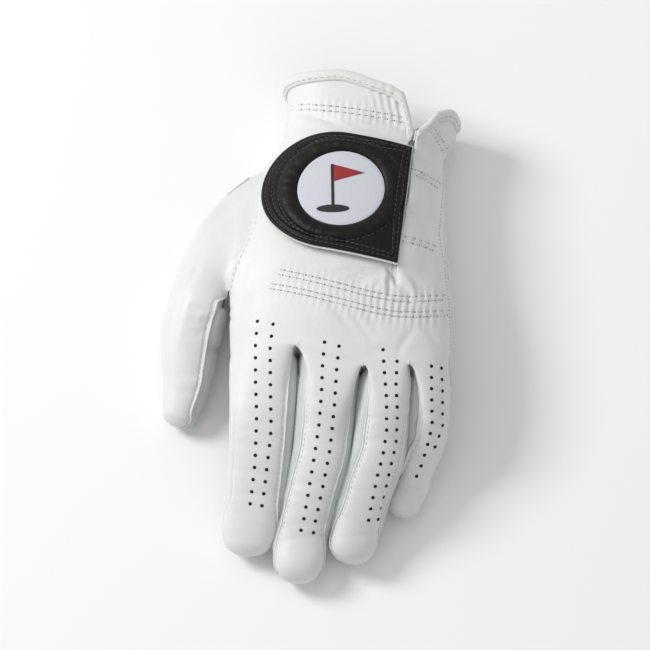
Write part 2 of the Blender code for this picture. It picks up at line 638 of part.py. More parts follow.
def main():
    clear_scene()
    white = material("white_leather", (0.82, 0.84, 0.82), 0.5)
    side_white = material("side_leather", (0.72, 0.76, 0.74), 0.5)
    elastic = material("white_elastic", (0.8, 0.8, 0.78), 0.8)
    binding = material("cuff_tape", (0.85, 0.86, 0.85), 0.6)
    black = material("black_leather", (0.012, 0.011, 0.011), 0.45)
    tape = material("hook_and_loop", (0.78, 0.79, 0.78), 0.9)
    badge = material("badge_twill", (0.9, 0.9, 0.9), 0.7)
    fingers = make_fingers()
    body = [trank(fingers, white)]
    pairs = (
        ("fourchette_index_middle", "index", "middle", MIDDLE_INDEX),
        ("fourchette_middle_ring", "middle", "ring", RING_MIDDLE),
        ("fourchette_ring_little", "ring", "little", LITTLE_RING),
    )
    for name, radial, ulnar, line in pairs:
        body.append(fourchette(name, fingers[radial], fingers[ulnar], line, side_white))
    body += [thumb(white), thumb_inner(side_white)]
    body.append(inner_tape("wrist_elastic", 78, 200, (((0, 102), (360, 102)), ((0, 94), (360, 94))), elastic))
    knuckle = (((16, 8), (100, 17.5), (146, 18.5)), ((16, -1), (100, 8), (146, 10)))
    body.append(inner_tape("knuckle_elastic", 16, 146, knuckle, elastic))
    flap = (((16, 74), (50, 80)), ((16, 30), (50, 30)))
    body.append(inner_tape("flap_elastic", 18, 50, flap, elastic, 8))
    body.append(cuff_binding(binding))
    fixed, moving = closure(black, tape, badge)
    origin, along = hinge_line()
    body += fixed
    glove = empty("glove", (0, 0, 0))
    peel = empty("tab", origin, glove)
    for made in body:
        made.parent = glove
    for made in moving:
        made.parent = peel
        made.location = -Vector(origin) * MM
    low, high = bounds(body + moving)
    shift = Vector((-(low[0] + high[0]) / 2, -(low[1] + high[1]) / 2, -low[2]))
    glove.location = shift
    print("shift", *(round(v, 7) for v in shift), "hinge", *(shift + Vector(origin) * MM), "along", *along)


main()
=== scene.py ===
import math

import bpy
import numpy as np
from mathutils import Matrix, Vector
from mathutils.bvhtree import BVHTree


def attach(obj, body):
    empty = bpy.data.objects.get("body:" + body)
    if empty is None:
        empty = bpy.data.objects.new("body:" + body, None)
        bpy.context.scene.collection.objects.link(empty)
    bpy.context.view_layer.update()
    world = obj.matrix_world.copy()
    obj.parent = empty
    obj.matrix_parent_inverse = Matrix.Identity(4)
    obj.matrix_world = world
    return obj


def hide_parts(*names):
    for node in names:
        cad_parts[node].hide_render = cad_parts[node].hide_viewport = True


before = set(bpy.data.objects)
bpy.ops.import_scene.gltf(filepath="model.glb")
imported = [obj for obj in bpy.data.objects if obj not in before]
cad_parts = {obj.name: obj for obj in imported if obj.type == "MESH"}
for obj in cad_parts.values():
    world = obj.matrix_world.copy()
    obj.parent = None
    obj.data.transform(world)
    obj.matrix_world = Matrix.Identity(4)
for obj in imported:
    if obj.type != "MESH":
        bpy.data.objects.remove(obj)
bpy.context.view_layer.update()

mm = 0.001
formOffset = np.array([-0.356, -1.012, 0.0])  # from the form's own frame to the row frame, in millimetres
tableGap = 0.02  # nothing reaches lower than this
weldDistance = 0.02  # points that lie nearer than this are made one

# the view leans back 20 degrees from upright: its sine and cosine, and the height at which the plan is read
leanSine, leanCosine, planHeight = 0.342, 0.94, 25

seams = {
    "side": 12.0,
    "littleRing": (54.0, 306.0),
    "ringMiddle": (78.5, 281.5),
    "middleIndex": (113.4, 246.6),
    "fold": 180.0,
}

leather = {"thickness": 0.8, "sideThickness": 0.7, "gap": 0.35, "sideGap": 1.0, "lap": 1.6, "crotchLap": 2.4}
gap = leather["gap"]

handValues = {
    # station y, centre x, width, top z, bottom z
    "sections": ((124.0, 29.5, 82.0, 40.0, 1.9), (101.0, 27.6, 77.0, 41.5, 1.7),
                 (91.0, 26.0, 77.6, 42.7, 0.2),
                 (83.0, 21.7, 76.0, 43.9, -1.0), (78.0, 20.2, 80.4, 44.6, -1.0),
                 (62.0, 17.4, 86.0, 46.8, -1.0), (45.0, 15.6, 90.0, 49.0, 1.0),
                 (20.0, 13.2, 99.0, 52.0, 6.0), (0.0, 13.3, 100.0, 53.0, 12.0),
                 (-20.0, 13.3, 99.5, 51.0, 18.0),
                 (-60.0, 13.3, 99.5, 44.0, 18.0)),
    "widestAt": 0.45,
    "squareness": 0.05,
    # angle round the hand and station, on the cuff's edge and through the tops of the crotches
    "cuffLine": ((12, 100), (26, 101.5), (40, 98.5), (54, 88), (62, 97), (70, 106), (90, 112), (117, 117.8),
                 (150, 118),
                 (180, 117), (250, 107), (310, 101), (372, 100)),
    "crotchLine": ((12, -16), (54, -25.5), (78.5, -27), (113.4, -17.5), (150, -13), (200, -15), (246.6, -21),
                   (281.5, -30), (306, -28), (350, -18), (372, -16)),
    # station and x of the slit and of the seam that runs on from it
    "slitLine": ((-60, 44.5), (-26, 44.3), (2, 40.6), (12, 38.7), (21, 37.2), (50, 40.8), (80, 44.2),
                 (100, 47.5),
                 (122, 49)),
    "slitEnd": 11.0,
    "slitGap": 1.0,
    "slitSpread": 1.15,
    "slitEase": 14.0,
    "flapLift": 3.4,
    "flapReach": 20.0,
    "rows": 118,
    "backColumn": 1.1,
    "palmColumn": 3.2,
}

holeValues = {"top": 80.0, "end": 15.0, "back": 24.0, "palm": 48.0, "handRadius": 26.0}

fingerValues = {
    # centre line, root width, tip width, thickness, roll
    "index": (((-21.4, -12.5, 36.0), (-22.3, -38.3, 35.0), (-23.4, -60.0, 29.0), (-25.2, -80.2, 18.5),
               (-27.6, -95.4, 10.0), (-27.2, -103.5, 8.6)), 30.6, 24.4, 16.5, -5.0),
    "middle": (((9.0, -21.0, 36.0), (7.2, -38.5, 35.5), (5.0, -60.7, 31.0), (-0.9, -81.1, 20.5),
                (-4.8, -97.5, 11.5), (-6.0, -116.5, 8.6)), 25.2, 22.4, 17.5, 5.0),
    "ring": (((33.0, -21.6, 35.5), (32.6, -38.1, 35.0), (30.6, -60.3, 31.0), (23.3, -80.6, 20.5),
              (19.6, -94.0, 13.2), (17.2, -107.5, 9.2)), 22.8, 21.4, 17.0, 18.0),
    "little": (((53.6, -21.7, 33.0), (53.4, -36.9, 30.5), (51.6, -53.0, 22.5), (47.6, -61.4, 16.8),
                (45.0, -68.8, 11.6), (41.2, -77.0, 9.0), (37.6, -83.5, 8.3)), 19.6, 17.0, 15.0, 32.0),
}

fingerShape = {"squareness": 0.05, "seam": 35.0, "tipRound": 1.1, "tipPowers": (2.5, 0.45), "rootBlend": 38.0,
               "rootEase": 9.0, "rootShare": 0.9, "crotchBlend": 22.0, "crotchPower": 0.5,
               "middleBlend": 16.0, "middlePower": 1.1, "seamEnd": 8.0, "seamTaper": 20.0, "rows": 62}


def through(knots, x):
    # smooth curve through (place, value) knots: cubic pieces whose slopes are harmonic means of the runs
    knots = np.array(knots, float)
    place, value = knots[np.argsort(knots[:, 0])].T
    x = np.clip(np.asarray(x, float), place[0], place[-1])
    run = np.diff(place)
    rise = np.diff(value) / run
    slope = np.concatenate([rise[:1], np.zeros(len(rise) - 1), rise[-1:]])
    steady = rise[1:] * rise[:-1] > 0
    slope[1:-1] = np.where(steady, 2 * rise[1:] * rise[:-1] / np.where(steady, rise[1:] + rise[:-1], 1), 0)
    i = np.clip(np.searchsorted(place, x) - 1, 0, len(run) - 1)
    t = (x - place[i]) / run[i]
    start = value[i] * (1 + 2 * t) * (1 - t) ** 2 + slope[i] * run[i] * t * (1 - t) ** 2
    return start + value[i + 1] * t * t * (3 - 2 * t) - slope[i + 1] * run[i] * t * t * (1 - t)


def ease(t):
    # smooth step from 0 to 1: t squared times three less twice t
    t = np.clip(t, 0, 1)
    return t * t * (3 - 2 * t)


def bell(distance, width):
    return np.exp(-(distance / width) ** 2)


def unit(v):
    return v / np.maximum(np.linalg.norm(v, axis=-1, keepdims=True), 1e-9)


def roundedSection(angle, halfWidth, up, down, squareness):
    # ellipse with corners swollen by squareness times the squared sine of twice the angle
    turn = np.radians(angle)
    swell = 1 + squareness * np.sin(2 * turn) ** 2
    height = np.where(np.sin(turn) > 0, up, down)
    return halfWidth * np.cos(turn) * swell, height * np.sin(turn) * swell


def handSection(y):
    # centre, half width, top and bottom of the hand at station y, from smooth curves through the stations
    table = np.array(handValues["sections"])
    centre, width, top, bottom = (through(table[:, [0, i]], y) for i in (1, 2, 3, 4))
    return centre, width / 2, top, bottom


def formPoint(angle, y, inset=0.0):
    # rounded section of the hand at station y, shrunk by inset and kept above the table
    centre, halfWidth, top, bottom = handSection(y)
    middle = bottom + handValues["widestAt"] * (top - bottom)
    side, rise = roundedSection(angle, halfWidth - inset, top - middle - inset, middle - bottom - inset,
                                handValues["squareness"])
    return np.stack([centre + side, y + 0 * side, np.maximum(middle + rise, inset)], -1)


def backAngle(x, y):
    # angle whose section point stands over the plan point: an arccosine, corrected eight times for the swell
    centre, halfWidth, _, _ = handSection(y)
    share = (x - centre) / halfWidth
    turn = np.arccos(np.clip(share, -1, 1))
    for _ in range(8):
        turn = np.arccos(np.clip(share / (1 + handValues["squareness"] * np.sin(2 * turn) ** 2), -1, 1))
    return np.degrees(turn)


def slitShare(y):
    # smooth step from 0 at the slit's end to 1 further up the wrist
    return ease((y - handValues["slitEnd"]) / handValues["slitEase"])


def handPoint(seamAngle, y, inset=0.0):
    # form point whose angle drifts with the slit line, with the flap beside the slit lifted to the tab
    seamAngle, y, inset = np.broadcast_arrays(np.asarray(seamAngle, float), np.asarray(y, float), inset)
    little = seams["littleRing"][0]
    drift = backAngle(through(handValues["slitLine"], y), y) - little
    knots = [seams["side"], little, seams["ringMiddle"][0]]
    angle = seamAngle + drift * np.interp(seamAngle, knots, [0, 1, 0])
    near = ease((seamAngle - little + handValues["flapReach"]) / handValues["flapReach"])
    lift = np.where(seamAngle < little, handValues["flapLift"] * near * slitShare(y), 0)
    return formPoint(angle, y, inset - lift)


def rowY(angle, v):
    # station of a row: a straight mix of the cuff's line and the crotch line at that angle
    return through(handValues["cuffLine"], angle) * (1 - v) + through(handValues["crotchLine"], angle) * v


class Finger:
    # bent centre line with a rounded section that tapers to a rounded tip
    def __init__(self, name, right, left):
        line, self.rootWidth, self.tipWidth, thickness, roll = fingerValues[name]
        self.name = name
        self.edges = (right, left)
        self.depth = thickness / 2
        knots = np.array(line)
        walked = np.concatenate([[0], np.cumsum(np.linalg.norm(np.diff(knots, axis=0), axis=1))])
        fine = np.linspace(0, walked[-1], 400)
        path = np.stack([through(np.stack([walked, knots[:, i]], 1), fine) for i in range(3)], 1)
        walked = np.concatenate([[0], np.cumsum(np.linalg.norm(np.diff(path, axis=0), axis=1))])
        self.length = walked[-1]
        self.steps = np.linspace(0, self.length, 161)
        self.line = np.stack([np.interp(self.steps, walked, path[:, i]) for i in range(3)], 1)
        ahead = np.gradient(self.line, axis=0)
        box = np.ones(17) / 17
        ahead = unit(np.array([np.convolve(np.pad(a, 8, "edge"), box, "valid") for a in ahead.T]).T)
        side = unit(np.cross([0, 0, 1.0], ahead))
        up = np.cross(ahead, side)
        turn = math.radians(roll)
        self.up = up * math.cos(turn) + side * math.sin(turn)
        self.side = side * math.cos(turn) - up * math.sin(turn)
        back, palm = (right[0] + left[0]) / 2, (right[1] + left[1]) / 2
        self.start = float(through(handValues["crotchLine"], back))
        self.rootDepth = np.linalg.norm(handPoint(back, self.start) - handPoint(palm, self.start)) / 2
        edges = handPoint(np.array([right[0], left[0]]), self.start)
        self.rootHalf = abs(edges[1, 0] - edges[0, 0]) / 2 * fingerShape["rootShare"]

    def walked(self, u, crotch):
        # distance along the centre line for a distance past the crotch; the two agree after the blend
        return np.maximum(u, 0) + (self.start - crotch) * np.clip(1 - u / fingerShape["rootBlend"], 0, 1)

    def seam(self, u):
        # angle between the seam and the finger's side, which eases to nothing before the tip
        taper = fingerShape["seamTaper"]
        return fingerShape["seam"] * (1 - ease((u - self.length + fingerShape["seamEnd"] + taper) / taper))

    def rows(self):
        # distances of the rings: a power at the root, even along the finger, and a sine round the tip
        tip = self.tipWidth / 2 * fingerShape["tipRound"]
        last = self.length - tip
        even = np.linspace(14, last, fingerShape["rows"] - 10)
        return np.concatenate([np.linspace(0, 1, 12)[:-1] ** 1.5 * 14, even,
                               last + tip * np.sin(np.linspace(0.15, 1.45, 10))])

    def point(self, angle, u, inset=0.0):
        # section ring at distance u: its width tapers evenly, and falls at the tip like a squared-off circle
        angle, u = np.broadcast_arrays(np.asarray(angle, float), np.asarray(u, float))
        along = np.clip(u, 0, self.length)
        centre, up, side = (np.stack([np.interp(along, self.steps, of[:, i]) for i in range(3)], -1)
                            for of in (self.line, self.up, self.side))
        half = (self.rootWidth + (self.tipWidth - self.rootWidth) * along / self.length) / 2
        tip = self.tipWidth / 2 * fingerShape["tipRound"]
        inner, outer = fingerShape["tipPowers"]
        end = np.clip(1 - np.clip((along - self.length + tip + inset) / tip, 0, 1) ** inner, 0, 1) ** outer
        half = (half + (self.rootHalf - half) * (1 - ease(along / fingerShape["rootEase"])) - inset) * end
        deep = 1 - ease(along / fingerShape["rootBlend"])
        depth = (self.depth + (self.rootDepth - self.depth) * deep - inset) * end
        across, rise = roundedSection(angle, half, depth, depth, fingerShape["squareness"])
        point = centre + across[..., None] * side + rise[..., None] * up
        point[..., 2] = np.maximum(point[..., 2], inset)
        return point


def crotchShare(u, edge=1.0):
    # sine of a power of the way past the crotch: steep beside a seam, slow along a finger's middle
    reach = fingerShape["crotchBlend"] + fingerShape["middleBlend"] * (1 - edge)
    power = fingerShape["crotchPower"] + fingerShape["middlePower"] * (1 - edge)
    return np.sin(np.pi / 2 * np.clip(u / reach, 0, 1) ** power)


def skin(finger, seamAngle, fingerAngle, u, inset=0.0, edge=1.0):
    # hand form and finger form, mixed by the share above
    crotch = through(handValues["crotchLine"], seamAngle)
    hand = handPoint(seamAngle, crotch - u, inset)
    share = crotchShare(u, edge)[..., None]
    return hand * (1 - share) + finger.point(fingerAngle, finger.walked(u, crotch), inset) * share


def refine(grid, rows, columns):
    # more rows and columns by cubic interpolation between neighbouring points
    def along(g, count):
        n = len(g)
        t = np.linspace(0, n - 1, count)
        i = np.clip(t.astype(int), 0, n - 2)
        f = (t - i)[:, None, None]
        padded = np.concatenate([2 * g[:1] - g[1:2], g, 2 * g[-1:] - g[-2:-1]])
        a, b, c, d = (padded[i + k] for k in range(4))
        return b + 0.5 * f * (c - a + f * (2 * a - 5 * b + 4 * c - d + f * (3 * (b - c) + d - a)))
    grid = along(np.asarray(grid, float), rows)
    return along(grid.transpose(1, 0, 2), columns).transpose(1, 0, 2)


def normals(grid):
    # cross product of the grid's slopes along its rows and columns
    return unit(np.cross(np.gradient(grid, axis=0), np.gradient(grid, axis=1)))


def makeMesh(name, points, faces, material, thickness=0.0, smoothAngle=50):
    points = (np.maximum(points, [-1e6, -1e6, tableGap]) + formOffset) * mm
    mesh = bpy.data.meshes.new(name)
    mesh.from_pydata(points.tolist(), [], faces.tolist() if hasattr(faces, "tolist") else faces)
    mesh.materials.append(material)
    mesh.shade_smooth()
    mesh.set_sharp_from_angle(angle=math.radians(smoothAngle))
    made = bpy.data.objects.new(name, mesh)
    bpy.context.collection.objects.link(made)
    if thickness:
        wall = made.modifiers.new("wall", "SOLIDIFY")
        wall.thickness = thickness * mm
        wall.offset = -1
    return made


def gridFaces(rows, columns, first=0):
    # four corners of every cell of a grid whose points are numbered row by row
    place = first + np.arange(rows * columns).reshape(rows, columns)
    return np.stack([place[:-1, :-1], place[:-1, 1:], place[1:, 1:], place[1:, :-1]], -1).reshape(-1, 4)


def joined(name, grids, material, thickness=0.0, smoothAngle=50):
    # several grids as one mesh, with its doubled points made one and its empty faces left out
    points = np.concatenate([np.asarray(g).reshape(-1, 3) for g in grids])
    faces, first = [], 0
    for g in grids:
        faces.append(gridFaces(g.shape[0], g.shape[1], first))
        first += g.shape[0] * g.shape[1]
    faces = np.concatenate(faces)
    cells = np.round(points / weldDistance).astype(int)
    _, keep, back = np.unique(cells, axis=0, return_index=True, return_inverse=True)
    points, faces = points[keep], back.reshape(-1)[faces]
    shown = []
    for face in faces.tolist():
        clean = [a for i, a in enumerate(face) if a != face[i - 1]]
        if len(set(clean)) > 2 and len(clean) == len(set(clean)):
            shown.append(clean)
    return makeMesh(name, points, shown, material, thickness, smoothAngle)


def shaderGroup(name, inputs, outputs):
    # a node group with named sockets, and its two end nodes
    group = bpy.data.node_groups.new(name, "ShaderNodeTree")
    for label, kind, value in inputs:
        made = group.interface.new_socket(label, in_out="INPUT", socket_type=kind)
        made.default_value = value
    for label, kind in outputs:
        group.interface.new_socket(label, in_out="OUTPUT", socket_type=kind)
    return group, group.nodes.new("NodeGroupInput"), group.nodes.new("NodeGroupOutput")


def node(tree, kind, inputs=None, **settings):
    # a node with its settings; each input is linked if its value is a socket, and set if not
    made = tree.nodes.new(kind)
    for key, value in settings.items():
        setattr(made, key, value)
    for key, value in (inputs or {}).items():
        if isinstance(value, bpy.types.NodeSocket):
            tree.links.new(value, made.inputs[key])
        else:
            made.inputs[key].default_value = value
    return made


def finishGroup(group, end, results):
    for key, socket in results.items():
        group.links.new(socket, end.inputs[key])
    return group


def leatherGroup():
    # shade wanders with a slow noise; grain is a fine noise with cells over it; creases are a noise's ridges
    inputs = [("Colour", "NodeSocketColor", (0.8, 0.8, 0.8, 1)),
              ("Shade", "NodeSocketColor", (0.6, 0.6, 0.6, 1)),
              ("Patch", "NodeSocketFloat", 40.0), ("Cells", "NodeSocketFloat", 1400.0),
              ("Depth", "NodeSocketFloat", 0.3), ("Wrinkle", "NodeSocketFloat", 1.0),
              ("Rough", "NodeSocketFloat", 0.5)]
    outputs = [("Colour", "NodeSocketColor"), ("Roughness", "NodeSocketFloat"),
               ("Normal", "NodeSocketVector")]
    group, start, end = shaderGroup("leatherGrain", inputs, outputs)
    given = start.outputs
    where = node(group, "ShaderNodeTexCoord").outputs["Object"]
    slow = node(group, "ShaderNodeTexNoise",
                {"Vector": where, "Scale": given["Patch"], "Detail": 3.0, "Roughness": 0.6}).outputs["Fac"]
    spread = node(group, "ShaderNodeMapRange", {"Value": slow, "From Min": 0.35, "From Max": 0.75})
    mix = node(group, "ShaderNodeMix", {0: spread.outputs["Result"], 6: given["Colour"], 7: given["Shade"]},
               data_type="RGBA")
    cells = node(group, "ShaderNodeTexVoronoi", {"Vector": where, "Scale": given["Cells"]},
                 feature="SMOOTH_F1")
    fine = node(group, "ShaderNodeTexNoise", {"Vector": where, "Detail": 4.0, "Scale": 2600.0})
    total = node(group, "ShaderNodeMath", {0: fine.outputs["Fac"], 1: 0.5, 2: cells.outputs["Distance"]},
                 operation="MULTIPLY_ADD")
    bump = node(group, "ShaderNodeBump",
                {"Height": total.outputs[0], "Strength": given["Depth"], "Distance": 0.0003})
    wide = node(group, "ShaderNodeTexNoise",
                {"Vector": where, "Detail": 5.0, "Scale": 70.0, "Distortion": 0.8, "Roughness": 0.55})
    fold = node(group, "ShaderNodeMath", {0: wide.outputs["Fac"], 1: 0.5}, operation="SUBTRACT")
    ridge = node(group, "ShaderNodeMath", {0: fold.outputs[0]}, operation="ABSOLUTE")
    creases = node(group, "ShaderNodeBump", {"Height": ridge.outputs[0], "Strength": given["Wrinkle"],
                                             "Distance": 0.0022, "Normal": bump.outputs[0]})
    rough = node(group, "ShaderNodeMath", {0: slow, 1: 0.12, 2: given["Rough"]}, operation="MULTIPLY_ADD")
    return finishGroup(group, end, {"Colour": mix.outputs[2], "Roughness": rough.outputs[0],
                                    "Normal": creases.outputs[0]})


def weaveGroup():
    # two crossed bands of threads, read as a height and as painted shade, a slight darkening between them
    inputs = [("Colour", "NodeSocketColor", (0.8, 0.8, 0.8, 1)), ("Pitch", "NodeSocketFloat", 500.0),
              ("Turn", "NodeSocketFloat", 0.785), ("Depth", "NodeSocketFloat", 0.5)]
    outputs = [("Colour", "NodeSocketColor"), ("Normal", "NodeSocketVector")]
    group, start, end = shaderGroup("threadWeave", inputs, outputs)
    given = start.outputs
    where = node(group, "ShaderNodeTexCoord").outputs["Object"]
    turned = node(group, "ShaderNodeVectorRotate", {"Vector": where, "Angle": given["Turn"]},
                  rotation_type="Z_AXIS")
    bands = {"Vector": turned.outputs[0], "Scale": given["Pitch"], "Distortion": 0.6, "Detail Scale": 3.0}
    warp, weft = (node(group, "ShaderNodeTexWave", bands, bands_direction=axis).outputs["Fac"]
                  for axis in ("X", "Y"))
    height = node(group, "ShaderNodeMath", {0: weft, 1: 0.45, 2: warp}, operation="MULTIPLY_ADD").outputs[0]
    # painted shade: the colour is darkened where the weave's height is low, between the threads
    dark = node(group, "ShaderNodeMapRange", {"Value": height, "To Min": 0.72, "To Max": 1.0})
    mix = node(group, "ShaderNodeMix", {0: 1.0, 6: given["Colour"], 7: dark.outputs["Result"]},
               data_type="RGBA", blend_type="MULTIPLY")
    bump = node(group, "ShaderNodeBump", {"Height": height, "Strength": given["Depth"], "Distance": 0.00025})
    return finishGroup(group, end, {"Colour": mix.outputs[2], "Normal": bump.outputs[0]})


def newMaterial(name, roughness=0.5, sheen=0.0):
    made = bpy.data.materials.new(name)
    made.use_nodes = True
    shader = made.node_tree.nodes["Principled BSDF"]
    shader.inputs["Roughness"].default_value = roughness
    shader.inputs["Sheen Weight"].default_value = sheen
    return made, shader


def groupMaterial(name, group, values, roughness=0.5, sheen=0.0):
    made, shader = newMaterial(name, roughness, sheen)
    used = made.node_tree.nodes.new("ShaderNodeGroup")
    used.node_tree = group
    for key, value in values.items():
        used.inputs[key].default_value = value
    for given, taken in (("Colour", "Base Color"), ("Roughness", "Roughness"), ("Normal", "Normal")):
        if given in used.outputs:
            made.node_tree.links.new(used.outputs[given], shader.inputs[taken])
    return made, shader


def leatherMaterial(name, colour, shade, cells, depth, rough, patch=40.0, specular=0.5, wrinkle=0.13):
    values = {"Colour": (*colour, 1), "Shade": (*shade, 1), "Cells": cells, "Depth": depth, "Rough": rough,
              "Patch": patch, "Wrinkle": wrinkle}
    made, shader = groupMaterial(name, grain, values)
    shader.inputs["Specular IOR Level"].default_value = specular
    return made


def wovenMaterial(name, colour, pitch, turn, depth, roughness=0.8, sheen=0.2):
    values = {"Colour": (*colour, 1), "Pitch": pitch, "Turn": turn, "Depth": depth}
    return groupMaterial(name, weave, values, roughness, sheen)[0]


def plainMaterial(name, colour, roughness, sheen=0.0):
    made, shader = newMaterial(name, roughness, sheen)
    shader.inputs["Base Color"].default_value = (*colour, 1)
    return made


grain = leatherGroup()
weave = weaveGroup()
whiteLeather = leatherMaterial("whiteLeather", (0.735, 0.75, 0.725), (0.665, 0.685, 0.655),
                               1100.0, 0.16, 0.44, 26.0)
# painted shade: a darker copy of the white leather for the side strips, the thumb's inner strip and the slit
# bed, standing in for the shade they lie in
sideLeather = leatherMaterial("sideLeather", (0.60, 0.635, 0.61), (0.52, 0.56, 0.535),
                              1100.0, 0.18, 0.46, 30.0)
blackLeather = leatherMaterial("blackLeather", (0.0045, 0.004, 0.0038), (0.011, 0.008, 0.006),
                               900.0, 0.5, 0.40, 60.0, 0.22, 0.25)
cuffTape = wovenMaterial("cuffTape", (0.80, 0.80, 0.775), 700.0, 0.2, 0.25, 0.6)
badgeTwill = wovenMaterial("badgeTwill", (0.72, 0.73, 0.80), 560.0, 0.6, 0.55, 0.75)
liningCloth = wovenMaterial("liningCloth", (0.76, 0.77, 0.75), 800.0, 0.0, 0.3)
loopTape = wovenMaterial("loopTape", (0.74, 0.75, 0.73), 260.0, 0.3, 1.0, 0.95, 0.5)
blackTwill = wovenMaterial("blackTwill", (0.012, 0.012, 0.013), 600.0, 0.1, 0.8, 0.6)
redTwill = wovenMaterial("redTwill", (0.42, 0.012, 0.016), 600.0, 1.2, 0.8, 0.6)
# white thread with its colour darkened as painted shade of the grooves the stitches sink into
whiteThread = plainMaterial("whiteThread", (0.60, 0.615, 0.61), 0.6, 0.2)
greyThread = plainMaterial("greyThread", (0.50, 0.52, 0.55), 0.6, 0.2)
blackThread = plainMaterial("blackThread", (0.03, 0.029, 0.03), 0.5, 0.2)
# painted shade: dark grey for the shade inside the needle holes
needleHole = plainMaterial("needleHole", (0.17, 0.17, 0.165), 0.9)
# painted shade: near black for the shade seen through the punched holes
punchedHole = plainMaterial("punchedHole", (0.012, 0.009, 0.006), 0.95)
print("materials ready")


def lean(points):
    # plan coordinates of the leaning view: x, and a mix of y and height
    height = points[..., 2] - planHeight
    return np.stack([points[..., 0], leanCosine * points[..., 1] + leanSine * height], -1)


def lineLength(line):
    return np.linalg.norm(np.diff(np.array(line), axis=0), axis=1).sum()


def lineDistance(at, line):
    # distance to a polyline, and the length walked along it to the nearest point
    line = np.array(line, float)
    start, step = line[:-1], np.diff(line, axis=0)
    size = np.linalg.norm(step, axis=1)
    flat = at.reshape(-1, 2)
    best, walked = np.full(len(flat), 1e9), np.zeros(len(flat))
    before = 0.0
    for a, d, s in zip(start, step, size):
        t = np.clip(((flat - a) @ d) / (s * s), 0, 1)
        away = np.linalg.norm(flat - a - t[:, None] * d, axis=1)
        nearer = away < best
        best = np.where(nearer, away, best)
        walked = np.where(nearer, before + t * s, walked)
        before += s
    return best.reshape(at.shape[:-1]), walked.reshape(at.shape[:-1])


def waves(at, length, seed, count=7, stretch=(1.0, 1.0)):
    # sum of a few sine waves in random directions, between about -1 and 1
    rng = np.random.default_rng(seed)
    total = 0
    for _ in range(count):
        turn, phase = rng.uniform(0, np.pi), rng.uniform(0, 2 * np.pi)
        size = length * rng.uniform(0.7, 1.5)
        run = at[..., 0] * stretch[0] * math.cos(turn) + at[..., 1] * stretch[1] * math.sin(turn)
        total = total + np.sin(2 * np.pi * run / size + phase)
    return total / math.sqrt(count * 2)


rowValues = {
    # double stitch rows across the knuckles, wrist and flap, and the side seam: lines in plan
    "knuckleHigh": ((-14.4, 25.2), (-5, 23.2), (4, 21.2), (13.1, 18.9), (22.1, 16.4), (31.1, 14.4),
        (38.2, 13.3), (45.5, 12.7), (53.6, 13.3), (60.8, 13.7)),
    "knuckleLow": ((-18.4, 18.7), (-10.8, 17.6), (-2.2, 15.8), (8.6, 13.1), (18.4, 10.6), (28.8, 7.9),
        (37.8, 6.3), (46.8, 5.9), (54.5, 6.3), (62.1, 6.8)),
    "wrist": ((-12.2, 97.9), (-8.6, 98.8), (-3.1, 99.4), (6.3, 98.9), (15.3, 98), (24.3, 96.8),
        (33.3, 95.3), (40.1, 93.8), (44.1, 92.9)),
    "flapHigh": ((41.4, 71.8), (45.9, 70.4), (50.9, 68.2), (57.1, 64.1)),
    "flapMid": ((38.2, 41.2), (44.6, 39.4), (50.9, 37.6), (56.7, 35.3)),
    "flapTop": ((54, 89.8), (57.1, 85.7), (59.4, 81.7), (60.8, 78.5)),
    "sideSeam": ((59.9, 71.8), (59.4, 61.9), (58.5, 52), (57.6, 41.6), (59.4, 31.3), (60.8, 21.4),
        (62.1, 10.1), (62.6, -1.1), (62.6, -11)),
    "gap": 2.3,  # between the two lines of a row
    "pitch": 3.2,
}

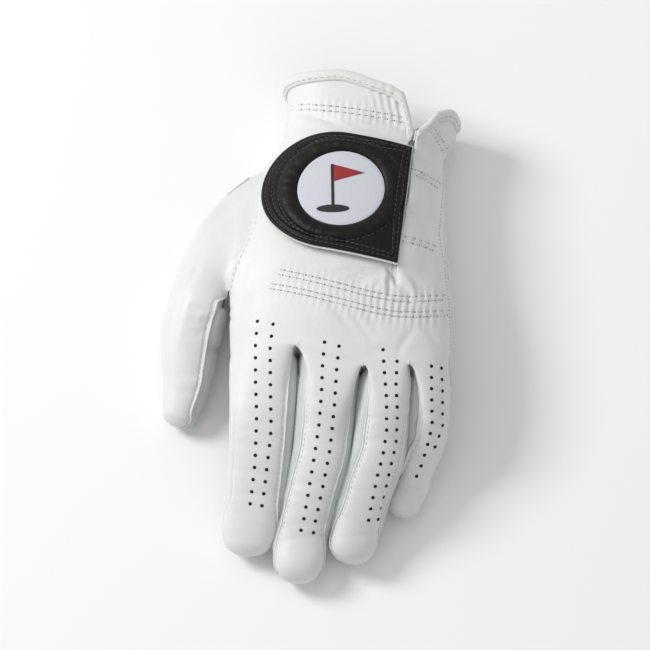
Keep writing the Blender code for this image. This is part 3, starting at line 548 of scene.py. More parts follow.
foldValues = {
    # pressed or raised lines in plan: depth (negative sinks), half width
    "foldLines": (
        (-0.55, 1.2, ((35.1, 27.7), (27.4, 23.2), (20.2, 20))),
        (-0.5, 1.3, ((33.8, 26.8), (24.8, 25), (15.3, 20.9))),
        (-0.35, 1.4, ((31.1, 27.7), (17.6, 25.9), (5, 23.2))), (0.45, 1.6, ((32.9, 25), (24.8, 20.5))),
        (-0.45, 1.0, ((36, 25.9), (34.6, 20.5), (35.6, 15.5))), (0.4, 1.3, ((33.8, 23.6), (32.4, 16.9))),
        (-0.9, 1.0, ((36, 26.8), (38.2, 22.3), (39.1, 19.6))),
        (0.6, 1.2, ((40.5, 23.2), (44.6, 19.1), (45.9, 15.1))),
        (-0.4, 1.2, ((41.9, 18.2), (44.1, 16), (44.6, 11.5))),
        (-0.25, 1.6, ((8.6, 12.4), (15.3, 2.5), (22.1, -3.8))),
        (-0.25, 1.5, ((16.7, 9.7), (22.9, 1.1), (27.4, -5.6))), (-0.25, 1.5, ((24.8, 7.4), (30.2, -1.1))),
        (-0.55, 1.0, ((-5, 96.5), (5, 94.3), (15.8, 90.2))),
        (-0.5, 1.1, ((15.3, 94.3), (27.4, 91.6), (39.1, 87.1))),
        (-0.4, 1.0, ((18.4, 91.6), (30.2, 88.4), (41.9, 83.9))),
        (0.4, 1.2, ((13.1, 95.2), (26.6, 92.9), (40.1, 88.4))),
        (-0.3, 1.2, ((-0.5, 97.9), (10.8, 95.2), (22.1, 91.6))),
        (-0.35, 1.0, ((28.4, 94.3), (36.5, 91.6), (43.2, 87.5))),
        (-0.5, 1.0, ((-45, 4.7), (-48.1, 8.3), (-52.6, 11.5))),
        (-0.45, 0.9, ((-44.6, 4.7), (-41.4, 8.3), (-39.6, 11))),
        (-0.4, 0.9, ((-44.1, 4.7), (-40.1, 7), (-36, 8.8))),
        (-0.3, 1.0, ((-44.1, 3.8), (-39.1, 4.3), (-33.8, 3.4))), (0.4, 1.2, ((-46.4, 7), (-48.1, 11))),
        (-0.25, 1.4, ((-51.8, 9.7), (-56.2, 16), (-58.1, 23.2))),
        (-0.25, 2.0, ((-31.9, 43.9), (-37.4, 29.5), (-38.2, 16.9))),
        (-0.2, 2.4, ((-22.1, 34.9), (-26.6, 20.5), (-27.4, 8.8))),
        (-0.25, 1.4, ((45.5, -1.1), (41, -7.9), (39.1, -12.8))),
        (-0.25, 1.4, ((50.9, 0.7), (55.4, -4.7), (59, -11))),
        (-0.3, 1.2, ((58.1, 41.2), (60.8, 29.5), (61.6, 17.8))),
        (-0.35, 1.3, ((43.6, 79.9), (49.1, 75.4), (56.2, 72.7))),
        (-0.3, 1.3, ((41, 55.1), (46.8, 51.5), (53.6, 49.3))),
        (0.35, 1.5, ((41.9, 61.9), (48.1, 57.4), (56.2, 54.7))),
        (-0.4, 1.3, ((50.9, 84.4), (56.2, 76.3), (60.8, 70.9))),
        (-0.16, 1.4, ((27.4, -10.6), (33.3, -9.2), (39.1, -10.6), (43.6, -14.2))),
        (-0.18, 1.7, ((-4, -8.8), (5, -13.3), (14.4, -15.1), (21.2, -16.4))),
        (0.16, 2.4, ((-2.2, -5.6), (6.8, -9.7), (15.8, -11.5))),
        (-0.12, 1.8, ((-31.9, 2.5), (-26.6, -2.5), (-19.4, -4.7), (-9.5, -5.6))),
    ),
    "cuffGathers": {"from": 20.0, "to": 47.0, "pitch": 3.4, "depth": 0.4},
}

reliefValues = {
    "swells": ((0.16, 46, 3), (0.05, 13, 4)),  # depth, length and seed of the slow waves on the back
    "palmSwell": (0.14, 22, 12),
    # stitch row, depth of its gathers and how far they reach
    "gathers": (("knuckleHigh", 0.34, 4.2), ("knuckleLow", 0.36, 4.8), ("wrist", 0.24, 3.8),
                ("flapHigh", 0.25, 3.5), ("flapMid", 0.25, 3.5), ("flapTop", 0.2, 3.0)),
    "calm": (0.45, 0.8),  # how much calmer the gathers are between the two lines of a row, and its width
    "press": (0.30, 0.75),  # depth and width of the groove under each line of stitches
    "ridge": (0.26, 0.7),  # height and width of the ridge between them
    "folds": (2.3, 1.25),  # all folds' depths and widths are multiplied by these
    "thumbFolds": 1.8,
}

fingerReliefValues = {
    "creases": 9, "first": 10, "spacing": (6.0, 13.0), "tilt": 0.08, "depth": (0.12, 0.34), "width": 1.3,
    "groove": (0.32, 1.6, 0.55),  # depth, distance from the seam and width
    "lip": (0.2, 0.6, 0.5),
}


def handRelief(points, angle):
    # gathers are sines along each stitch row that die away from it; grooves and folds are bell curves
    at = lean(points)
    back = ease((angle - 8) / 8) * ease((196 - angle) / 14)
    total = sum(depth * waves(at, length, seed) for depth, length, seed in reliefValues["swells"])
    calm, calmWidth = reliefValues["calm"]
    press, pressWidth = reliefValues["press"]
    ridge, ridgeWidth = reliefValues["ridge"]
    for name, depth, reach in reliefValues["gathers"]:
        away, walked = lineDistance(at, rowValues[name])
        last = lineLength(rowValues[name])
        inside = ease(walked / 4) * ease((last - walked) / 3 + 0.3)
        grow = 0.35 + 0.65 * ease(walked / last / 0.5)
        phase = 2 * np.pi * walked / rowValues["pitch"] + 0.9 * waves(at, 22, 8)
        near = bell(away, reach) * inside
        total = total + depth * grow * np.sin(phase) * near * (1 - calm * bell(away, calmWidth))
        total = total - press * bell(away - rowValues["gap"] / 2, pressWidth) * inside
        total = total + ridge * bell(away, ridgeWidth) * inside * grow
    deeper, wider = reliefValues["folds"]
    for depth, width, line in foldValues["foldLines"]:
        away, walked = lineDistance(at, line)
        fade = 0.35 + 0.65 * np.sin(np.pi * np.clip(walked / lineLength(line) * 0.9 + 0.1, 0, 1))
        total = total + deeper * depth * bell(away, wider * width) * fade
    cuff = foldValues["cuffGathers"]
    x, v = at[..., 0], at[..., 1]
    band = ease((v - 91) / 6) * ease((x - cuff["from"]) / 14) * ease((cuff["to"] + 4 - x) / 5)
    sway = x + 0.22 * (v - 100) + 0.02 * (v - 100) ** 2
    total = total + cuff["depth"] * band * np.sin(2 * np.pi * sway / cuff["pitch"] + 1.3 * waves(at, 30, 9))
    depth, length, seed = reliefValues["palmSwell"]
    return total * back + (1 - back) * depth * waves(at, length, seed)


def fingerRelief(finger, angle, u, points):
    # slow swells along the finger, shallow creases across its back, and a pressed line inside each seam
    at = lean(points)
    values, letters = fingerReliefValues, len(finger.name)
    back = ease((np.sin(np.radians(angle)) + 0.1) / 0.5)
    total = 0.14 * waves(at, 26, letters) + 0.07 * waves(at, 7.5, 20 + letters, 7, (0.5, 1.0))
    rng = np.random.default_rng(letters * 7 + 1)
    for place in np.cumsum(rng.uniform(*values["spacing"], values["creases"])) + values["first"]:
        tilt, size = rng.uniform(-values["tilt"], values["tilt"]), rng.uniform(*values["depth"])
        total = total - size * back * bell(u - place - tilt * (angle - 90), values["width"])
    seam = finger.seam(u)
    across = np.minimum(np.abs(angle - seam), np.abs(180 - seam - angle))
    edge = np.radians(across) * finger.tipWidth / 2
    closed = ease((u - 6) / 10)
    groove, grooveAt, grooveWidth = values["groove"]
    lip, lipAt, lipWidth = values["lip"]
    total = total - groove * bell(edge - grooveAt, grooveWidth) * closed
    return total + lip * bell(edge - lipAt, lipWidth) * closed


def columnsFor(right, left):
    # number of columns between two angles, with closer ones on the back than on the palm
    width = handValues["palmColumn"] if max(right, left) > 190 else handValues["backColumn"]
    return max(6, round(abs(left - right) / width)) + 1


def slitEdge(y, side):
    # angle of the slit's edge: half the gap turned into an angle on each side of the seam's line
    halfGap = np.degrees(handValues["slitGap"] / 2 / handSection(y)[1])
    return seams["littleRing"][0] + side * halfGap * slitShare(y) * handValues["slitSpread"]


def besideSlit(angle, y, side):
    # angles between the next seam and the slit, moved in proportion so that the slit opens
    little = seams["littleRing"][0]
    far = seams["side"] if side < 0 else seams["ringMiddle"][0]
    return angle + (slitEdge(y, side) - little) * np.clip((angle - far) / (little - far), 0, 1)


def holeOpening(y, power=0.5):
    # share of the thumb hole's reach at station y: a power of half a sine wave
    top, end = holeValues["top"], holeValues["end"]
    return np.sin(np.pi * np.clip((y - end) / (top - end), 0, 1)) ** power


def handBlock(right, left, rows):
    # a stretch of the hand between two seams: form points raised by the relief, with slit and hole left open
    count = columnsFor(right, left)
    angle = np.broadcast_to(np.linspace(right, left, count), (len(rows), count))
    y = rowY(angle, rows[:, None])
    share = np.linspace(0, 1, count)
    if left == seams["littleRing"][0]:
        angle = besideSlit(angle, y, -1)
    if right == seams["littleRing"][0]:
        angle = besideSlit(angle, y, 1)
    if left == seams["fold"]:
        angle = angle - holeValues["back"] * holeOpening(y) * share
    if right == seams["fold"]:
        angle = angle + holeValues["palm"] * holeOpening(y) * (1 - share)
    base = handPoint(angle, y)
    return handPoint(angle, y, -handRelief(base, angle))


def fingerBlock(finger, palm):
    # one side of a finger: mixed hand and finger points raised by their reliefs, drawn together at the tip
    handFrom, handTo = (edge[1 if palm else 0] for edge in finger.edges)
    u = finger.rows()
    seam = finger.seam(u)
    outer = finger.edges[0][0] == seams["side"]
    right = seam * seams["side"] / fingerShape["seam"] if outer else seam
    left = 180 - seam
    if finger.edges[1][0] == seams["fold"]:
        left = np.full_like(u, 180.0)
    if palm:
        handFrom, handTo = handTo, handFrom
        right, left = 360 - left, 360 + (right if outer else -right)
    count = columnsFor(handFrom, handTo)
    share = np.linspace(0, 1, count)
    angle = right[:, None] * (1 - share) + left[:, None] * share
    hand = np.broadcast_to(np.linspace(handFrom, handTo, count), angle.shape)
    distance = np.broadcast_to(u[:, None], angle.shape)
    edge = np.broadcast_to(np.abs(2 * share - 1) ** 3, angle.shape)
    base = skin(finger, hand, angle, distance, 0.0, edge)
    mixed = crotchShare(distance, edge)
    relief = handRelief(base, hand) * (1 - mixed) + fingerRelief(finger, angle, distance, base) * mixed
    tip = ease((finger.length - distance) / 4)
    grid = skin(finger, hand, angle, distance, -relief * tip, edge)
    end = np.broadcast_to(finger.point(90.0, finger.length), (1, count, 3))
    return np.concatenate([grid, end])


ringSeam = (seams["side"], seams["side"] + 360)
fingers = {
    "little": Finger("little", ringSeam, seams["littleRing"]),
    "ring": Finger("ring", seams["littleRing"], seams["ringMiddle"]),
    "middle": Finger("middle", seams["ringMiddle"], seams["middleIndex"]),
    "index": Finger("index", seams["middleIndex"], (seams["fold"], seams["fold"])),
}


def buildMainLeather():
    # eight stretches of the hand from seam to seam, then both sides of each finger
    rows = np.linspace(0, 1, handValues["rows"] + 1)
    inner = ("littleRing", "ringMiddle", "middleIndex")
    back = [seams["side"], *(seams[name][0] for name in inner), seams["fold"]]
    palm = [seams["fold"], *(seams[name][1] for name in inner[::-1]), seams["side"] + 360]
    grids = [handBlock(a, b, rows) for line in (back, palm) for a, b in zip(line, line[1:])]
    for finger in fingers.values():
        grids += [fingerBlock(finger, False), fingerBlock(finger, True)]
    return joined("mainLeather", grids, whiteLeather, leather["thickness"], 60)


mainLeather = buildMainLeather()
print("main leather", len(mainLeather.data.polygons))

stripValues = {
    "columns": 25,
    "bulge": 3.1,  # how far the soft strips swell out between their seams
    "creaseDepth": 0.18,
    "creaseLength": 9,
    "creaseShare": 0.6,
}


def buildStrip(name, radial, ulnar, line):
    # both fingers' skins, set in and swollen by a parabola, mixed into a straight web between the crotches
    inset = leather["thickness"] + leather["sideGap"]
    across = np.linspace(-1, 1, stripValues["columns"])
    grids = []
    for finger, side in ((radial, 0), (ulnar, 180)):
        u = finger.rows()
        u = u[u < finger.length - fingerShape["seamEnd"]]
        u = np.concatenate([[-leather["crotchLap"], -1.2], u])[:, None]
        spread = finger.seam(u) + math.degrees(leather["lap"] / (finger.tipWidth / 2))
        angle = -across * spread if side == 0 else 180 + across * spread
        crotches = through(handValues["crotchLine"], np.array(line))
        back, palm = (handPoint(edge, crotch - u, inset) for edge, crotch in zip(line, crotches))
        web = (back * (1 - across[:, None]) + palm * (1 + across[:, None])) / 2
        crotch = (crotches[0] * (1 - across) + crotches[1] * (1 + across)) / 2
        share = crotchShare(u + leather["crotchLap"])[..., None]
        bulge = stripValues["bulge"] * (1 - across ** 2)
        bulge = bulge * ease((u + 2.4) / 5) * ease((finger.length - u) / 20)
        grid = web * (1 - share) + finger.point(angle, finger.walked(u, crotch), inset - bulge) * share
        crease = waves(lean(grid) + grid[..., 2:3] * 0.3, stripValues["creaseLength"], 40 + side)
        crease = stripValues["creaseDepth"] * crease[..., None] * ease((u[..., None] + 1) / 8)
        grid = grid + crease * unit(grid - finger.line[0]) * stripValues["creaseShare"]
        grids.append(grid if side else grid[:, ::-1])
    return joined(name, grids, sideLeather, leather["sideThickness"])


stripMiddle = buildStrip("sideStripIndexMiddle", fingers["index"], fingers["middle"], seams["middleIndex"])
stripRing = buildStrip("sideStripMiddleRing", fingers["middle"], fingers["ring"], seams["ringMiddle"])
stripLittle = buildStrip("sideStripRingLittle", fingers["ring"], fingers["little"], seams["littleRing"])
print("side strips ready")


thumbValues = {
    "line": ((-51.0, 13.0, 15.0), (-54.0, 1.0, 13.5), (-55.4, -11.0, 12.0), (-56.2, -23.0, 10.5),
             (-58.8, -33.5, 8.5)),
    "widths": (27.0, 26.5, 24.0, 20.5, 16.0),
    "thicknesses": (26.0, 24.0, 21.0, 18.5, 15.5),
    "squareness": 0.03,
    "tip": 8.0,
    "tuck": 1.5,
    "sweep": 1.15,
    "loft": (0.0, 0.14, 0.32, 0.52, 0.72, 0.88),
    "turns": (0.5, 0.95, 1.3),
    "seams": (0, 0, 0, 0, 8, 32, 48, 50, 50, 50, 50, 46, 32, 14, 0),
    "rows": 110,
    "columns": 150,
    "stripBulge": 2.6,
    "stripRadius": 11.0,
}


def holeLoop(around, grown, inset):
    # loop round the thumb hole, grown by a distance: its station is a cosine and its reach a clipped sine
    half = (holeValues["top"] - holeValues["end"]) / 2
    y = holeValues["end"] + half + (half + grown) * np.cos(around)
    side = np.sign(np.sin(around)) * np.clip(4 * np.abs(np.sin(around)), 0, 1)
    reach = np.where(side > 0, holeValues["back"], holeValues["palm"]) * holeOpening(y, 0.7)
    reach = reach + math.degrees(grown / holeValues["handRadius"])
    return handPoint(seams["fold"] - np.maximum(reach, 0) * side, y, inset)


def thumbRing(station, around, tip=0.0):
    # rounded section across the thumb's line; past its end the size is a cosine and the way forward a sine
    line = np.array(thumbValues["line"])
    ahead = unit(np.gradient(line, axis=0)[station])
    out = np.cross([0, 0, 1.0], ahead)
    out *= -np.sign(out[0]) / np.linalg.norm(out)
    up = np.cross(out, ahead)
    up *= np.sign(up[2])
    half = thumbValues["widths"][station] / 2 * math.cos(tip)
    depth = thumbValues["thicknesses"][station] / 2 * math.cos(tip)
    side, rise = roundedSection(np.degrees(around), half, depth, depth, thumbValues["squareness"])
    centre = line[station] + ahead * thumbValues["tip"] * math.sin(tip)
    return centre + side[:, None] * out + rise[:, None] * up


def thumbSkin(around):
    # from the hole's edge the rows follow a cubic curve that leaves the hand and turns along the thumb
    tuck = thumbValues["tuck"]
    rows = [holeLoop(around[0], leather["lap"], tuck)]
    ahead = unit(np.array(thumbValues["line"][1]) - np.array(thumbValues["line"][0]))
    for t, turn in zip(thumbValues["loft"], around[1:]):
        inner = holeLoop(turn, -1.8, tuck)
        away = unit(holeLoop(turn, -9.0, tuck - 15.0) - inner)
        ring = thumbRing(0, turn)
        span = np.linalg.norm(ring - inner, axis=1)[:, None]
        start = (1 + 2 * t) * (1 - t) ** 2 * inner + t * (1 - t) ** 2 * span * thumbValues["sweep"] * away
        rows.append(start + t * t * (3 - 2 * t) * ring - t * t * (1 - t) * span * ahead)
    first, last = 1 + len(thumbValues["loft"]), len(thumbValues["line"]) - 1
    rows += [thumbRing(i, around[first + i]) for i in range(last + 1)]
    turns = zip(around[first + last + 1:], thumbValues["turns"])
    rows += [thumbRing(last, ring, turn) for ring, turn in turns]
    return np.array(rows)


def onTable(grid, inset=0.0):
    grid[..., 2] = np.maximum(grid[..., 2], inset)
    return grid


# pressed or raised lines on the thumb in plan: depth (negative sinks), half width
thumbFolds = (
    (-0.5, 1.1, ((-45, 4.3), (-48.6, 7), (-53.6, 9.7))),
    (-0.4, 1.0, ((-45.9, 2.5), (-50, 2.5), (-54.5, 3.8))),
    (-0.35, 1.0, ((-46.8, -1.1), (-51.8, -2.9), (-56.2, -2.9))),
    (-0.25, 1.6, ((-56.2, 14.2), (-59.9, 4.3), (-61.6, -6.5))), (0.4, 1.4, ((-45.5, 6.1), (-50, 5.2))),
    (-0.22, 1.4, ((-49.5, -20), (-54.5, -21.8), (-59, -20.9))),
    (-0.25, 1.6, ((-51.8, 25.9), (-57.1, 16.9), (-60.8, 9.7))),
    (-0.2, 1.3, ((-52.2, -28.1), (-58.1, -29), (-62.6, -27.2))),
)

# the same on the thumb's inner strip
thumbCreases = (
    (-1.3, 1.6, ((-48.1, -7), (-44.6, -9.2), (-40.1, -10.6))),
    (-1.1, 1.3, ((-45, 4.3), (-41.9, 7.9), (-36.5, 11))),
    (-0.5, 1.2, ((-45.5, 1.1), (-41.9, -1.1), (-37.4, -1.6))),
    (-0.5, 1.4, ((-50.9, -25.9), (-47.2, -29), (-44.6, -31.7))),
    (0.5, 2.5, ((-46.4, -14.6), (-47.2, -20), (-49.1, -25.9))),
    (0.6, 3.0, ((-42.8, 4.3), (-41.9, -1.1), (-42.8, -5.6))),
)


def buildThumb():
    # rings round the thumb as far as its seams, closed at the tip, refined and raised along their normals
    edge = math.pi - np.radians(thumbValues["seams"])[:, None]
    around = edge * np.linspace(-1, 1, 41)
    tip = thumbRing(len(thumbValues["line"]) - 1, around[-1], math.pi / 2)
    coarse = np.concatenate([thumbSkin(around), tip[None]])
    grid = refine(coarse, thumbValues["rows"], thumbValues["columns"])
    at = lean(grid)
    total = 0.2 * waves(at + grid[..., 2:3] * 0.4, 30, 51) + 0.06 * waves(at, 9, 52)
    for depth, width, line in thumbFolds:
        away, walked = lineDistance(at, line)
        fade = 0.4 + 0.6 * np.cos(np.pi / 2 * np.clip(walked / 14, 0, 1))
        total = total + reliefValues["thumbFolds"] * depth * bell(away, width) * fade
    row = np.linspace(0, 1, thumbValues["rows"])[:, None]
    column = np.linspace(0, 1, thumbValues["columns"])
    lip = np.minimum(column, 1 - column) * 60
    free = ease((row - 0.3) / 0.15) * ease((1 - row) / 0.1)
    total = total + (0.25 * bell(lip - 0.7, 0.6) - 0.35 * bell(lip - 2.0, 0.6)) * free
    normal = normals(grid)
    calm = ease(row / 0.12) * ease((1 - row) / 0.06)
    return onTable(grid + normal * (total * calm)[..., None]), normal


def buildThumbStrip():
    # the rings run on round the inner side, set in under the leather, swollen by a parabola and creased
    across = np.linspace(-1, 1, 8)
    inset = leather["thickness"] + leather["sideGap"]
    spread = np.radians(thumbValues["seams"])[:, None] + leather["lap"] / thumbValues["stripRadius"]
    grid = thumbSkin(math.pi + spread * across)
    swell = thumbValues["stripBulge"] * (1 - across ** 2)[None, :, None]
    swell = swell * ease((np.arange(len(grid)) - 4) / 4)[:, None, None]
    grid = (grid - (inset - swell) * normals(grid))[4:-1]
    grid = refine(onTable(grid, inset), 60, 24)
    creases = sum(depth * bell(lineDistance(lean(grid), line)[0], width)
                  for depth, width, line in thumbCreases)
    grid = onTable(grid + creases[..., None] * normals(grid), 0.5)
    return joined("thumbStrip", [grid[:, ::-1]], sideLeather, leather["sideThickness"])


thumbGrid, thumbNormal = buildThumb()
thumbLeather = joined("thumbLeather", [thumbGrid[:, ::-1]], whiteLeather, leather["thickness"], 60)
thumbStrip = buildThumbStrip()
print("thumb ready")

bindingValues = {"thickness": 0.8, "width": 4.5, "stitchIn": 3.0, "flapColumns": 50, "cuffColumns": 300}


def buildBinding():
    # a folded tape whose section, in depths and distances from the edge, is carried round the cuff
    thick, width = bindingValues["thickness"], bindingValues["width"]
    flap = np.linspace(seams["littleRing"][0], seams["side"], bindingValues["flapColumns"])
    rest = np.linspace(seams["side"] + 360, seams["littleRing"][0], bindingValues["cuffColumns"])
    edges = [through(handValues["cuffLine"], line) for line in (flap, rest)]
    edge = np.concatenate([edges[0], edges[1][1:]])
    angle = np.concatenate([besideSlit(flap, edges[0], -1), besideSlit(rest, edges[1], 1)[1:]])
    line = np.gradient(handPoint(angle, edge), axis=0)
    level = np.linalg.norm(line[:, [0, 2]], axis=1) / np.linalg.norm(line, axis=1)
    near, far = gap / np.maximum(level, 0.25), (gap + thick) / np.maximum(level, 0.25)
    outer, inner = -gap - 0.2, leather["thickness"] + gap + 0.2
    under, over = inner + thick, outer - thick
    low, half = -width, -width / 2
    base = handPoint(angle, edge)
    relief = handRelief(base, angle)
    fold = [(-0.1, low), (outer, half), (outer, near), (inner, near), (inner, half), (inner, low),
            (under, low), (under, half), (under, far * 0.4), (under * 0.7 + over * 0.3, far),
            (under * 0.3 + over * 0.7, far), (over, far * 0.4), (over - 0.25, -0.8), (over - 0.1, half),
            (over + 0.3, low + 0.9), (-0.55, low), (-0.1, low)]
    rows = []
    for depth, dy in fold:
        share = 0.5 + 0.5 * np.tanh((inner - np.asarray(depth)) * 2)
        rows.append(handPoint(angle, edge + dy, depth - relief * 0.4 * share))
    rows = np.array(rows)
    ends = [np.stack([rows[[0, 1, 2, 3, 4, 5], i], rows[[15, 13, 11, 8, 7, 6], i]]) for i in (0, -1)]
    stitch = handPoint(angle, edge - bindingValues["stitchIn"], over - 0.05 - relief * 0.4)
    return joined("cuffBinding", [rows, *ends], cuffTape, 0, 70), stitch


cuffBinding, bindingStitch = buildBinding()
print("binding ready")

bedValues = {"angles": (44, 64), "stations": (7.0, 34.0), "under": 0.15, "thickness": 0.12}


def buildBed():
    # a thin strip that follows the leather from underneath, behind the slit's lower end
    angle, y = np.meshgrid(np.linspace(*bedValues["angles"], 60), np.linspace(*bedValues["stations"], 40))
    inset = leather["thickness"] + bedValues["under"] - handRelief(handPoint(angle, y), angle)
    return joined("slitBed", [handPoint(angle, y, inset)[::-1]], sideLeather, bedValues["thickness"])


slitBed = buildBed()


tabValues = {
    "root": (39.9, 49.9), "turn": 13.0, "slant": 0.121, "length": 59.4, "half": 29.2,
    "leather": 0.8, "lining": 0.7, "hook": 1.0, "loop": 1.2, "badgeAt": (27.0, 1.0), "badgeRadius": 18.6,
    "badgeRecess": 0.8, "badgeThickness": 0.8, "badgeTrim": 0.055,
    "ringHeight": 1.6, "ringWidth": 7.5, "tapeMargin": 7.5,
}


def tabOutline(angle, grown):
    # distance from the badge's centre to the outline: slanted root, straight sides and a half circle
    half, length = tabValues["half"] + grown, tabValues["length"] + grown
    start = np.array([tabValues["slant"] * -half - grown, -half])
    end = np.array([tabValues["slant"] * half - grown, half])
    turn = np.linspace(np.pi / 2, -np.pi / 2, 90)
    cap = np.stack([length - half + half * np.cos(turn), half * np.sin(turn)], 1)
    outline = np.concatenate([np.linspace(start, end, 60), np.linspace(end, cap[0], 40), cap,
                              np.linspace(cap[-1], start, 40)]) - tabValues["badgeAt"]
    place = np.arctan2(outline[:, 1], outline[:, 0])
    order = np.argsort(place)
    return np.interp(angle, place[order], np.linalg.norm(outline, axis=1)[order], period=2 * np.pi)


def tabAngles(count=240):
    # angles round the badge's centre: a third of them on the root edge, the rest round the free edge
    half, slant, at = tabValues["half"], tabValues["slant"], tabValues["badgeAt"]
    corners = [math.atan2(s * half - at[1], slant * s * half - at[0]) for s in (1, -1)]
    corners[1] += 2 * math.pi
    root = np.linspace(corners[0], corners[1], count // 3)
    free = np.linspace(corners[1], corners[0] + 2 * math.pi, count - count // 3 + 1)
    return np.concatenate([root, free[1:]])


def tabPoint(p, q, height):
    # point over the hand form for a distance from the tab's root and one along it, turned as the tab is
    turn = math.radians(tabValues["turn"])
    x = tabValues["root"][0] - p * math.cos(turn) + q * math.sin(turn)
    y = tabValues["root"][1] + p * math.sin(turn) + q * math.cos(turn)
    return formPoint(backAngle(x, y), y, -np.asarray(height, float))


def polar(angle, radius, height):
    p, q = tabValues["badgeAt"]
    return tabPoint(p + radius * np.cos(angle), q + radius * np.sin(angle), height)


def plate(name, outline, low, high, material, dome=0.0):
    # rings that share out the outline's distance, domed by a parabola on top and flat below
    shares = np.array([0.0, 0.15, 0.3, 0.45, 0.6, 0.75, 0.88, 0.97, 1.0])
    heights = high + dome * (1 - shares * shares) - 0.15 * (shares == 1.0)
    top = [polar(tabAngle, outline * share, height) for share, height in zip(shares, heights)]
    bottom = [polar(tabAngle, outline * share, low) for share in shares[::-1]]
    return joined(name, [np.array(top + bottom)], material, 0, 60)


tabAngle = tabAngles()
levels = {"loop": gap}
levels["hook"] = levels["loop"] + tabValues["loop"] + gap
levels["lining"] = levels["hook"] + tabValues["hook"] + gap
levels["cover"] = levels["lining"] + tabValues["lining"] + gap
levels["top"] = levels["cover"] + tabValues["leather"]
margin = tabValues["tapeMargin"]


def tabLayer(name, kind, grown, material):
    # a plate with the tab's outline, grown or shrunk, at its own level
    outline = tabOutline(tabAngle, grown)
    return plate(name, outline, levels[kind], levels[kind] + tabValues[kind], material)


loopPad = tabLayer("loopPad", "loop", 1.5 - margin, loopTape)
hookPad = tabLayer("hookPad", "hook", -margin, loopTape)
tabLining = tabLayer("tabLining", "lining", 0.7, liningCloth)

badgeTrim = 1 - tabValues["badgeTrim"] * np.cos(tabAngle) ** 2  # a little narrower across the hand

coverValues = {
    "rows": (2.0, 4.6),  # distances of the stitch rows from the edge
    "rowPress": (0.30, 0.5),  # depth and width of the groove under each row
    "ringSeam": (0.35, 0.8),  # the same round the padded ring
    "puff": (0.25, 3.3, 0.9),  # height, distance from the edge and width of the swell between the rows
    "unevenness": 0.12,
    "rounding": (0.55, 0.9),  # drop and width of the rounded edge
}


def coverHeight(distance, beyond, angle):
    # a padded ring as a sine swell beside the window, rows pressed in as bell curves, and a rounded edge
    ring = np.clip(distance / tabValues["ringWidth"], 0, 1)
    swell = tabValues["ringHeight"] * np.sin(np.pi * ring) ** 0.7
    edge = beyond - distance
    depth, width = coverValues["rowPress"]
    pressed = sum(depth * bell(edge - at, width) for at in coverValues["rows"])
    depth, width = coverValues["ringSeam"]
    pressed = pressed + depth * bell(distance - tabValues["ringWidth"], width)
    height, at, width = coverValues["puff"]
    uneven = np.sin(angle * 24 + 2 * np.sin(angle * 5)) * np.sin(np.pi * ring)
    puff = height * bell(edge - at, width) + coverValues["unevenness"] * uneven
    drop, width = coverValues["rounding"]
    return swell - pressed + puff - drop * np.clip(1 - edge / width, 0, 1) ** 2


def buildCover():
    # rings from the window out to the edge at the cover's height, then back underneath
    window = (tabValues["badgeRadius"] + gap) * badgeTrim
    edge = tabOutline(tabAngle, 0.0)
    beyond = edge - window
    rows = [polar(tabAngle, window, levels["cover"])]
    for share in np.linspace(0, 1, 46) ** 1.15:
        distance = beyond * share
        height = levels["top"] + coverHeight(distance, beyond, tabAngle) * (0.25 if share == 0 else 1)
        rows.append(polar(tabAngle, window + distance, height))
    rows.append(polar(tabAngle, edge, np.full_like(edge, levels["cover"])))
    rows.append(polar(tabAngle, window + beyond * 0.5, np.full_like(edge, levels["cover"])))
    rows.append(rows[0])
    return joined("tabCover", [np.array(rows)], blackLeather, 0, 75)


tabCover = buildCover()
badgeLow = levels["top"] - tabValues["badgeRecess"]
badgeTop = badgeLow + tabValues["badgeThickness"]
tabBadge = plate("tabBadge", tabValues["badgeRadius"] * badgeTrim, badgeLow, badgeTop, badgeTwill, 0.2)


def emblemPart(name, corners, material, lift=0.28):
    # an outline round the badge's centre, laid over the badge and raised at its middle like satin stitches
    corners = np.array(corners, float)
    centre = corners.mean(0)
    mid = tabPoint(*tabValues["badgeAt"], 0.0)
    rings = []
    for share, rise in ((0.0, lift), (0.5, lift), (0.85, lift * 0.9), (1.0, lift * 0.55), (1.0, -0.2)):
        at = mid[:2] + centre + (corners - centre) * share
        rings.append(formPoint(backAngle(at[:, 0], at[:, 1]), at[:, 1], -(badgeTop + 0.2 + rise)))
    grid = np.array(rings)
    return joined(name, [np.concatenate([grid, grid[:, :1]], 1)], material, 0, 80)


def outlineOf(corners, per):
    # a closed outline through the corners, with the same count of points on each side
    corners = np.array(list(corners) + [corners[0]], float)
    return np.concatenate([np.linspace(a, b, per, endpoint=False) for a, b in zip(corners, corners[1:])])


turnRound = np.linspace(0, 2 * np.pi, 48, endpoint=False)
emblemValues = {
    "pole": outlineOf([(-3.9, -9.5), (-2.7, -9.5), (-2.7, 12.0), (-3.9, 12.0)], 12),
    "pennant": outlineOf([(-2.6, 11.8), (-2.6, 3.4), (9.6, 7.6)], 14),
    "hole": np.stack([-3.3 + 6.6 * np.cos(turnRound), -10.3 + 1.9 * np.sin(turnRound)], 1),
}
emblemPole = emblemPart("emblemPole", emblemValues["pole"][::-1], blackTwill, 0.34)
emblemPennant = emblemPart("emblemPennant", emblemValues["pennant"], redTwill)
emblemHole = emblemPart("emblemHole", emblemValues["hole"], blackTwill, 0.26)
print("tab ready")


